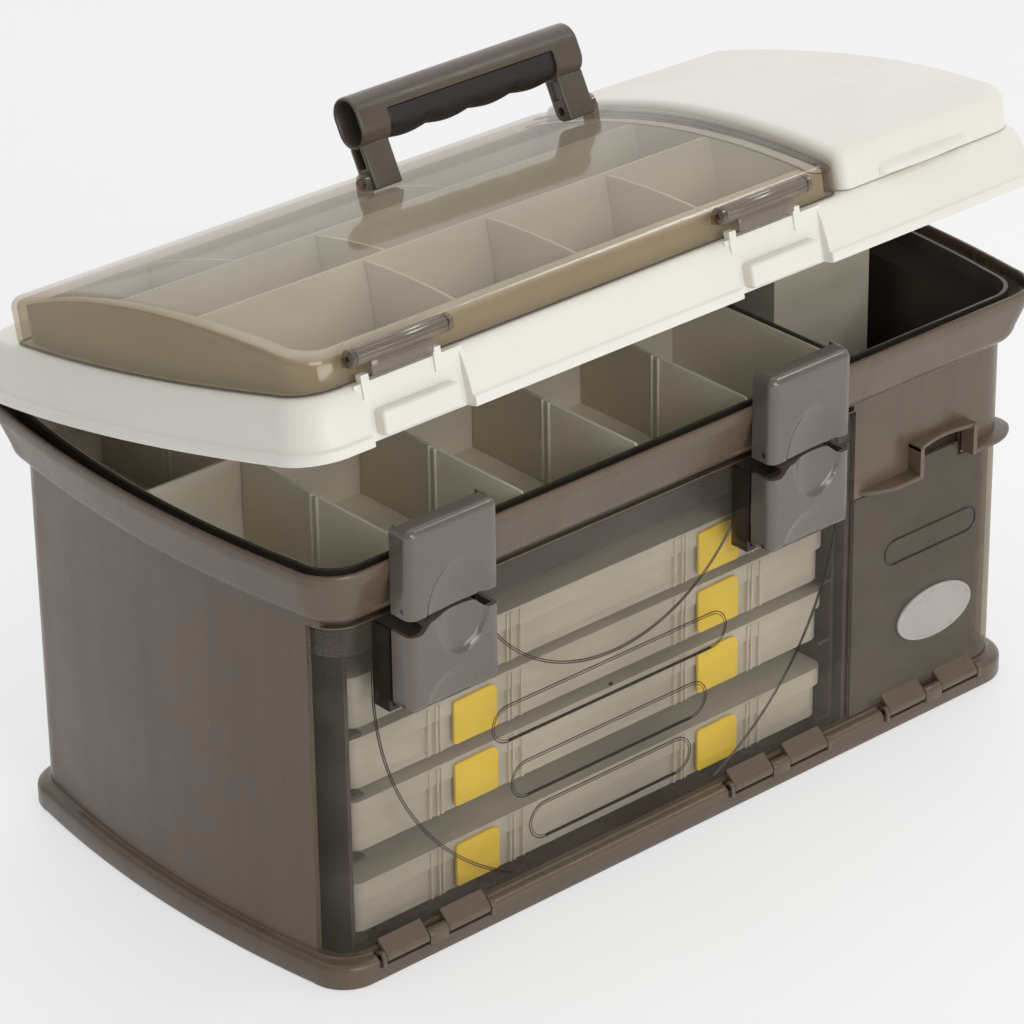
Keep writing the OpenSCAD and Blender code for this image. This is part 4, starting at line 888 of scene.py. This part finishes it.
def latch(name, c, heights, dents, pin_z, shelf_y, edge, edge_below):
    """A hollow cap, open to the back: soft front edges, dents in its face, one edge that follows edge(x).

    Behind shelf_y it is open all the way up, and its pin runs through at pin_z."""
    low, high = heights
    spare = 8  # what the raw block has past the edge that edge(x) cuts

    def shape(x, y, z, normal):
        if normal.x > 0.05 and x > c + 20:
            x = c + LATCH_HALF - (c + LATCH_HALF - x) * 0.5
        if normal.y < -0.3 and y < -160:
            y += dents(x - c, z) * min(1, -normal.y)
        return x, y, z
    block = rbox((c - LATCH_HALF, LATCH_FRONT, low - spare * edge_below),
                 (c + LATCH_HALF, -140, high + spare * (not edge_below)), 5.2, 1.15, 6, shape)
    side, floor_z, roof_z = LATCH_HALF - LATCH_WALL, low - 20, high - LATCH_WALL
    limit = 0 if edge_below else FAR
    xs = [u / 2 for u in range(-61, 62)]
    trim = ([(-60, edge(-LATCH_HALF))] + [(x, edge(x)) for x in xs]
            + [(60, edge(LATCH_HALF)), (60, limit), (-60, limit)])
    cuts = [cube((c - 60, LATCH_BACK, 0), (c + 60, 0, FAR)),
            cube((c - side, -163.9, floor_z), (c - CORE_HALF, -100, roof_z)),
            cube((c + CORE_HALF, -163.9, floor_z), (c + side, -100, roof_z)),
            cube((c - CORE_HALF - 0.01, -161.4, floor_z), (c + CORE_HALF + 0.01, -100, roof_z)),
            cube((c - side, shelf_y, low), (c + side, -100, high + 30)),
            rod(c - 60, c + 60, LATCH_PIN_Y, pin_z, 1.55, ease=0.01),
            loft([[(c + x, y, z) for x, z in trim] for y in (-300, -100)])]
    put("latch_" + name, tidy(boolean(block, cuts)), name, "latch_plastic", smooth=34, replaces=(name,))


for side, c in zip(("left", "right"), LATCHES):
    latch("upper_latch_" + side, c, UPPER_Z, upper_bowl, 231.5, -155.6, tongue, True)
    latch("lower_latch_" + side, c, LOWER_Z, lower_bowls, 175.3, -153.4, wave, False)


# -------------------- door hinges, trays and liner
def leaf(x0, x1):
    """A door's barrel with a web that runs up into the door."""
    turn = [math.radians(a) for a in range(129, 356, 9)]
    profile = ([(WALL_Y + 0.01, 22.5), (WALL_Y - 0.25, 22.2)]
               + [(BARREL_Y + BARREL_R * math.cos(a), BARREL_Z + BARREL_R * math.sin(a)) for a in turn]
               + [(WALL_Y + 0.01, 13.2)])
    ease, shrink = 0.5, 0.90
    mid_y, mid_z = -138.5, 15
    stations = [(x0, shrink), (x0 + ease, 1), (x1 - ease, 1), (x1, shrink)]
    return loft([[(x, mid_y + (y - mid_y) * k, mid_z + (z - mid_z) * k) for y, z in profile]
                 for x, k in stations])


for name, xs in DOOR_HINGES.items():
    parts = []
    for a, b in [sorted((x + s * 6.9, x + s * 37.1)) for x in xs for s in (-1, 1)]:
        parts.append(leaf(a, b))
        parts += [rod(x, x + 0.8, BARREL_Y, BARREL_Z, BARREL_R + 0.2, ease=0.2) for x in (a + 9, b - 9.8)]
    pin_hole = rod(-260, 260, BARREL_Y, BARREL_Z, PIN_HOLE, ease=0.01)
    put(name + "_leaves", boolean(merge(*parts), [pin_hole]), name + "_door", "bronze_plastic",
        replaces=(name + "_door_barrels",))
for node, width, mat, slot in (
        ("door_hinge_brackets", 0.7, "bronze_plastic", "dark_plastic"),
        ("side_hinge_brackets", 0.7, "bronze_plastic", "dark_plastic"),
        ("divided_tray", 0.55, "tray_plastic", None),
        ("tray_dividers", 0.45, "tray_plastic", None),
        ("lid_tray", 0.6, "pale_tray_plastic", None),
        ("lid_tray_dividers", 0.45, "pale_tray_plastic", None),
        ("top_liner", 0.6, "liner_plastic", "dark_plastic")):
    soften(node, width, mat)

# -------------------- lines in the doors: moulded ridges drawn in near-black smoke, their darkness painted shade
LINE_Y = WALL_Y + 0.25  # just inside the doors' faces
PANEL_X, PANEL_H = -64.5, 23  # datum and height of the front door's raised frames
ARC_X = -57  # middle of its two arcs


def capsule_path(x0, x1, z, h, n=10):
    """The outline of a slot with round ends."""
    r = h / 2
    turn = [math.pi * k / n for k in range(n + 1)]
    return ([(x1 - r + r * math.sin(a), LINE_Y, z - r * math.cos(a)) for a in turn]
            + [(x0 + r - r * math.sin(a), LINE_Y, z + r * math.cos(a)) for a in turn])


def raised_frame(x0, x1, z, h, line, foot_in, foot_drop, painted_shade_line):
    """A slot's double outline, and a heavier line along its foot, which is a painted shadow line."""
    shadow_path = [(x, LINE_Y, z - foot_drop) for x in (x0 + foot_in, x1 - foot_in)]
    return [tube(capsule_path(x0, x1, z, h), line, 6, closed=True),
            tube(capsule_path(x0 + 1.5, x1 - 1.5, z, h - 3), 0.24, 6, closed=True),
            # the foot tube is a painted shadow line under the slot
            tube(shadow_path, painted_shade_line, 6)]


def arc_runs(z_mid, r, n=96):
    """The unbroken stretches of a circle that lie on the front door."""
    runs = [[]]
    for k in range(2 * n + 1):
        a = math.pi * (0.5 + k / n)
        x, z = ARC_X + r * math.cos(a), z_mid + r * math.sin(a)
        if -235 < x < 120 and 21.5 < z < 211.5:
            runs[-1].append((x, LINE_Y, z))
        elif runs[-1]:
            runs.append([])
    return [run for run in runs if len(run) > 3]


lines = []
for left, right, z in ((-82.5, 92.5, 118.5), (-69.5, 77.5, 79), (-56.5, 65.5, 47.5)):
    lines += raised_frame(PANEL_X + left, PANEL_X + right, z, PANEL_H, 0.32, 12, 10.7, 0.62)
for z_mid, r in ((177, 172), (242, 108)):
    lines += [tube(run, 0.34, 6) for edge_r in (r + 0.6, r - 0.6) for run in arc_runs(z_mid, edge_r)]
lines.append(rod(-61.2, -58.8, LINE_Y - 0.2, 114, 1.1, 14, 0.2))
# near-black smoke lines: painted shade of the door's moulded ridges
put("door_lines", merge(*lines), "front_door", "smoke_dark")
put("side_lines", merge(*raised_frame(154, 231, 115, 17, 0.3, 9, 7.6, 0.6)), "side_door", "smoke_dark")

# -------------------- parts of the four boxes
BOX_FRONT = -126.4
BOX_LATCHES, BOX_LATCH_PITCH = (-151, 30), 181


def extent(node, axis):
    """Least and greatest place of a CAD solid on an axis, in mm."""
    o = frame["nodes"][node]
    places = [(o.matrix_world @ Vector(c))[axis] * 1000 for c in o.bound_box]
    return min(places), max(places)


def box_ribs(base):
    """Upright ribs on a box's front, three on each side of each latch."""
    z0, z1 = extent(base, 2)
    return merge(*[cube((c + d, BOX_FRONT - 0.9, z0 + 1.5), (c + d + 1.1, BOX_FRONT + 2.2, z1 + 9.5), 0.3)
                   for c in BOX_LATCHES for d in (-33, -27.5, -24.5, 24, 27, 33.5)])


def box_tabs(latches):
    """A box's two latches: flat tabs with one round upper corner and two finger lines."""
    (first, last), (low, high) = extent(latches, 0), extent(latches, 2)
    width = last - first - BOX_LATCH_PITCH
    r = 5
    parts = []
    for a in (first, last - width):
        b = a + width
        turn = [math.radians(t) for t in range(0, 91, 15)]
        outline = ([(a + 1.2, low), (b - 1.2, low), (b, low + 1.2)]
                   + [(b - r + r * math.cos(t), high - r + r * math.sin(t)) for t in turn]
                   + [(a + 1.2, high - 0.6), (a, high - 1.8), (a, low + 1.2)])
        faces = [[(x, y, z) for x, z in outline] for y in (BOX_FRONT - 2, BOX_FRONT)]
        parts.append(bevel(loft(faces), 0.45, 2, 40))
        for z in (low + (high - low) * 0.22, low + (high - low) * 0.3):
            parts.append(cube((a + 2, BOX_FRONT - 2.15, z), (b - 2, BOX_FRONT - 1.8, z + 0.6), 0.1, 1))
    return merge(*parts)


for box in ("box_%d" % k for k in (1, 2, 3, 4)):
    put(box + "_ribs", box_ribs(box + "_base"), box, "box_clear")
    put(box + "_tabs", box_tabs(box + "_latches"), box, "yellow_plastic", replaces=(box + "_latches",))


# -------------------- side door's plate
def oval(a, b, y, n=56):
    """An ellipse with half axes a and b, turned a little, at the place of the plate."""
    turn = math.radians(-1)
    x0, z0 = 197, 64
    return [(x0 + a * math.cos(t) * math.cos(turn) - b * math.sin(t) * math.sin(turn), y,
             z0 + a * math.cos(t) * math.sin(turn) + b * math.sin(t) * math.cos(turn)) for t in angles(n)]


# from its foot on the door over the raised rim to the crowned middle
plate = loft([oval(a, b, y) for a, b, y in (
    (30.7, 16.6, -137), (30.9, 16.8, -138.0), (30.5, 16.4, -138.5), (29.2, 15.1, -138.55),
    (28.5, 14.4, -137.9), (28.0, 13.9, -137.75), (20, 10, -138.1), (8, 4, -138.3))])
put("badge_plate", plate, "side_door", "badge_plastic", smooth=50, replaces=("side_badge",))

# -------------------- camera, in metres
CAMERA_AT = (-1.5426, -1.7520, 1.3717)
YAW, PITCH, ROLL = math.radians(-41.16), math.radians(27.69), math.radians(0.81)
SENSOR, FOCAL_SHARE = 36.0, 4586 / 1024  # sensor width in mm, and focal length over it
cam = bpy.data.cameras.new("camera")
camera = add_object("camera", cam)
forward = Vector((-math.sin(YAW) * math.cos(PITCH), math.cos(YAW) * math.cos(PITCH), -math.sin(PITCH)))
level = Vector((math.cos(YAW), math.sin(YAW), 0))
down = forward.cross(level)
right = level * math.cos(ROLL) + down * math.sin(ROLL)
up = level * math.sin(ROLL) - down * math.cos(ROLL)
camera.matrix_world = Matrix.Translation(CAMERA_AT) @ Matrix((right, up, -forward)).transposed().to_4x4()
cam.sensor_width, cam.lens = SENSOR, FOCAL_SHARE * SENSOR
cam.clip_start, cam.clip_end = 0.05, 60
bpy.context.scene.camera = camera


# -------------------- floor
def floor_material():
    """Near white. Its glow is seen by the camera and in mirror images, but lights nothing."""
    m, nt, p = new_material("floor_white")
    tone = two_tone(nt, noise(nt, coords(nt), 3), (0.93, 0.93, 0.93), (0.96, 0.96, 0.96))
    link(nt, tone, p.inputs["Base Color"])
    p.inputs["Roughness"].default_value = 0.9
    path = nt.nodes.new("ShaderNodeLightPath")
    seen = path.outputs["Is Camera Ray"]
    for ray in ("Is Glossy Ray", "Is Transmission Ray"):
        seen = calc(nt, "MAXIMUM", seen, path.outputs[ray])
    glow = nt.nodes.new("ShaderNodeEmission")
    glow.inputs["Color"].default_value = (1, 1, 1, 1)
    glow.inputs["Strength"].default_value = 1.0
    mix_shaders(nt, remap(nt, seen, 0, 1, 0, 0.55), p.outputs["BSDF"], glow.outputs["Emission"])
    return m


floor_mesh = bpy.data.meshes.new("floor")
grid = bmesh.new()
bmesh.ops.create_grid(grid, x_segments=8, y_segments=8, size=9)
grid.to_mesh(floor_mesh)
grid.free()
floor_mesh.materials.append(floor_material())
floor = add_object("floor", floor_mesh)
floor.location.z = -0.0004

# -------------------- light
# name: place, what it points at, size, power
LIGHTS = {
    "key": ((-0.5, -2.3, 1.5), (0, 0, 0.15), (1.3, 0.9), 18),
    "low": ((0.2, -2.6, 0.55), (0, 0, 0.2), (1.8, 0.5), 11),
    "edge": ((1.5, -0.9, 2.1), (0, 0, 0.25), (0.5, 0.35), 5),
    "left": ((-2.3, -0.3, 1.2), (0, 0, 0.15), (1.4, 1.2), 0.6),
    "top": ((0.1, 0.5, 2.4), (0, 0, 0.2), (2.2, 1.8), 10)}
for name, (place, target, (width, height), power) in LIGHTS.items():
    lamp = bpy.data.lights.new(name, "AREA")
    lamp.shape, lamp.size, lamp.size_y, lamp.energy = "RECTANGLE", width, height, power
    o = add_object(name, lamp)
    o.location = place
    o.rotation_mode = "QUATERNION"
    o.rotation_quaternion = (Vector(target) - Vector(place)).to_track_quat("-Z", "Y")

# a white room that is brighter at the back right
world = bpy.data.worlds.new("studio")
world.use_nodes = True
room = world.node_tree
back = room.nodes["Background"]
back.inputs["Color"].default_value = (1, 1, 1, 1)
dot = room.nodes.new("ShaderNodeVectorMath")
dot.operation = "DOT_PRODUCT"
dot.inputs[1].default_value = (0.64, 0.77, 0.0)
link(room, coords(room, "Generated"), dot.inputs[0])
link(room, remap(room, dot.outputs["Value"], 0.2, 0.9, 0.42, 1.25), back.inputs["Strength"])
bpy.context.scene.world = world
bpy.context.scene.view_settings.view_transform = "Standard"

# -------------------- finish of the CAD pieces that stay
slots = {part["node"]: part["material_slot"] for part in frame["record"]["subparts"]}
# door_latch_brackets get near-black smoke: painted shade of the pocket they sit in
special = {"front_door": "door_clear", "side_door": "side_clear", "door_latch_brackets": "smoke_dark"}
for node, o in frame["nodes"].items():
    o.data.materials.clear()
    o.data.materials.append(MATERIALS[special.get(node, slots[node])])
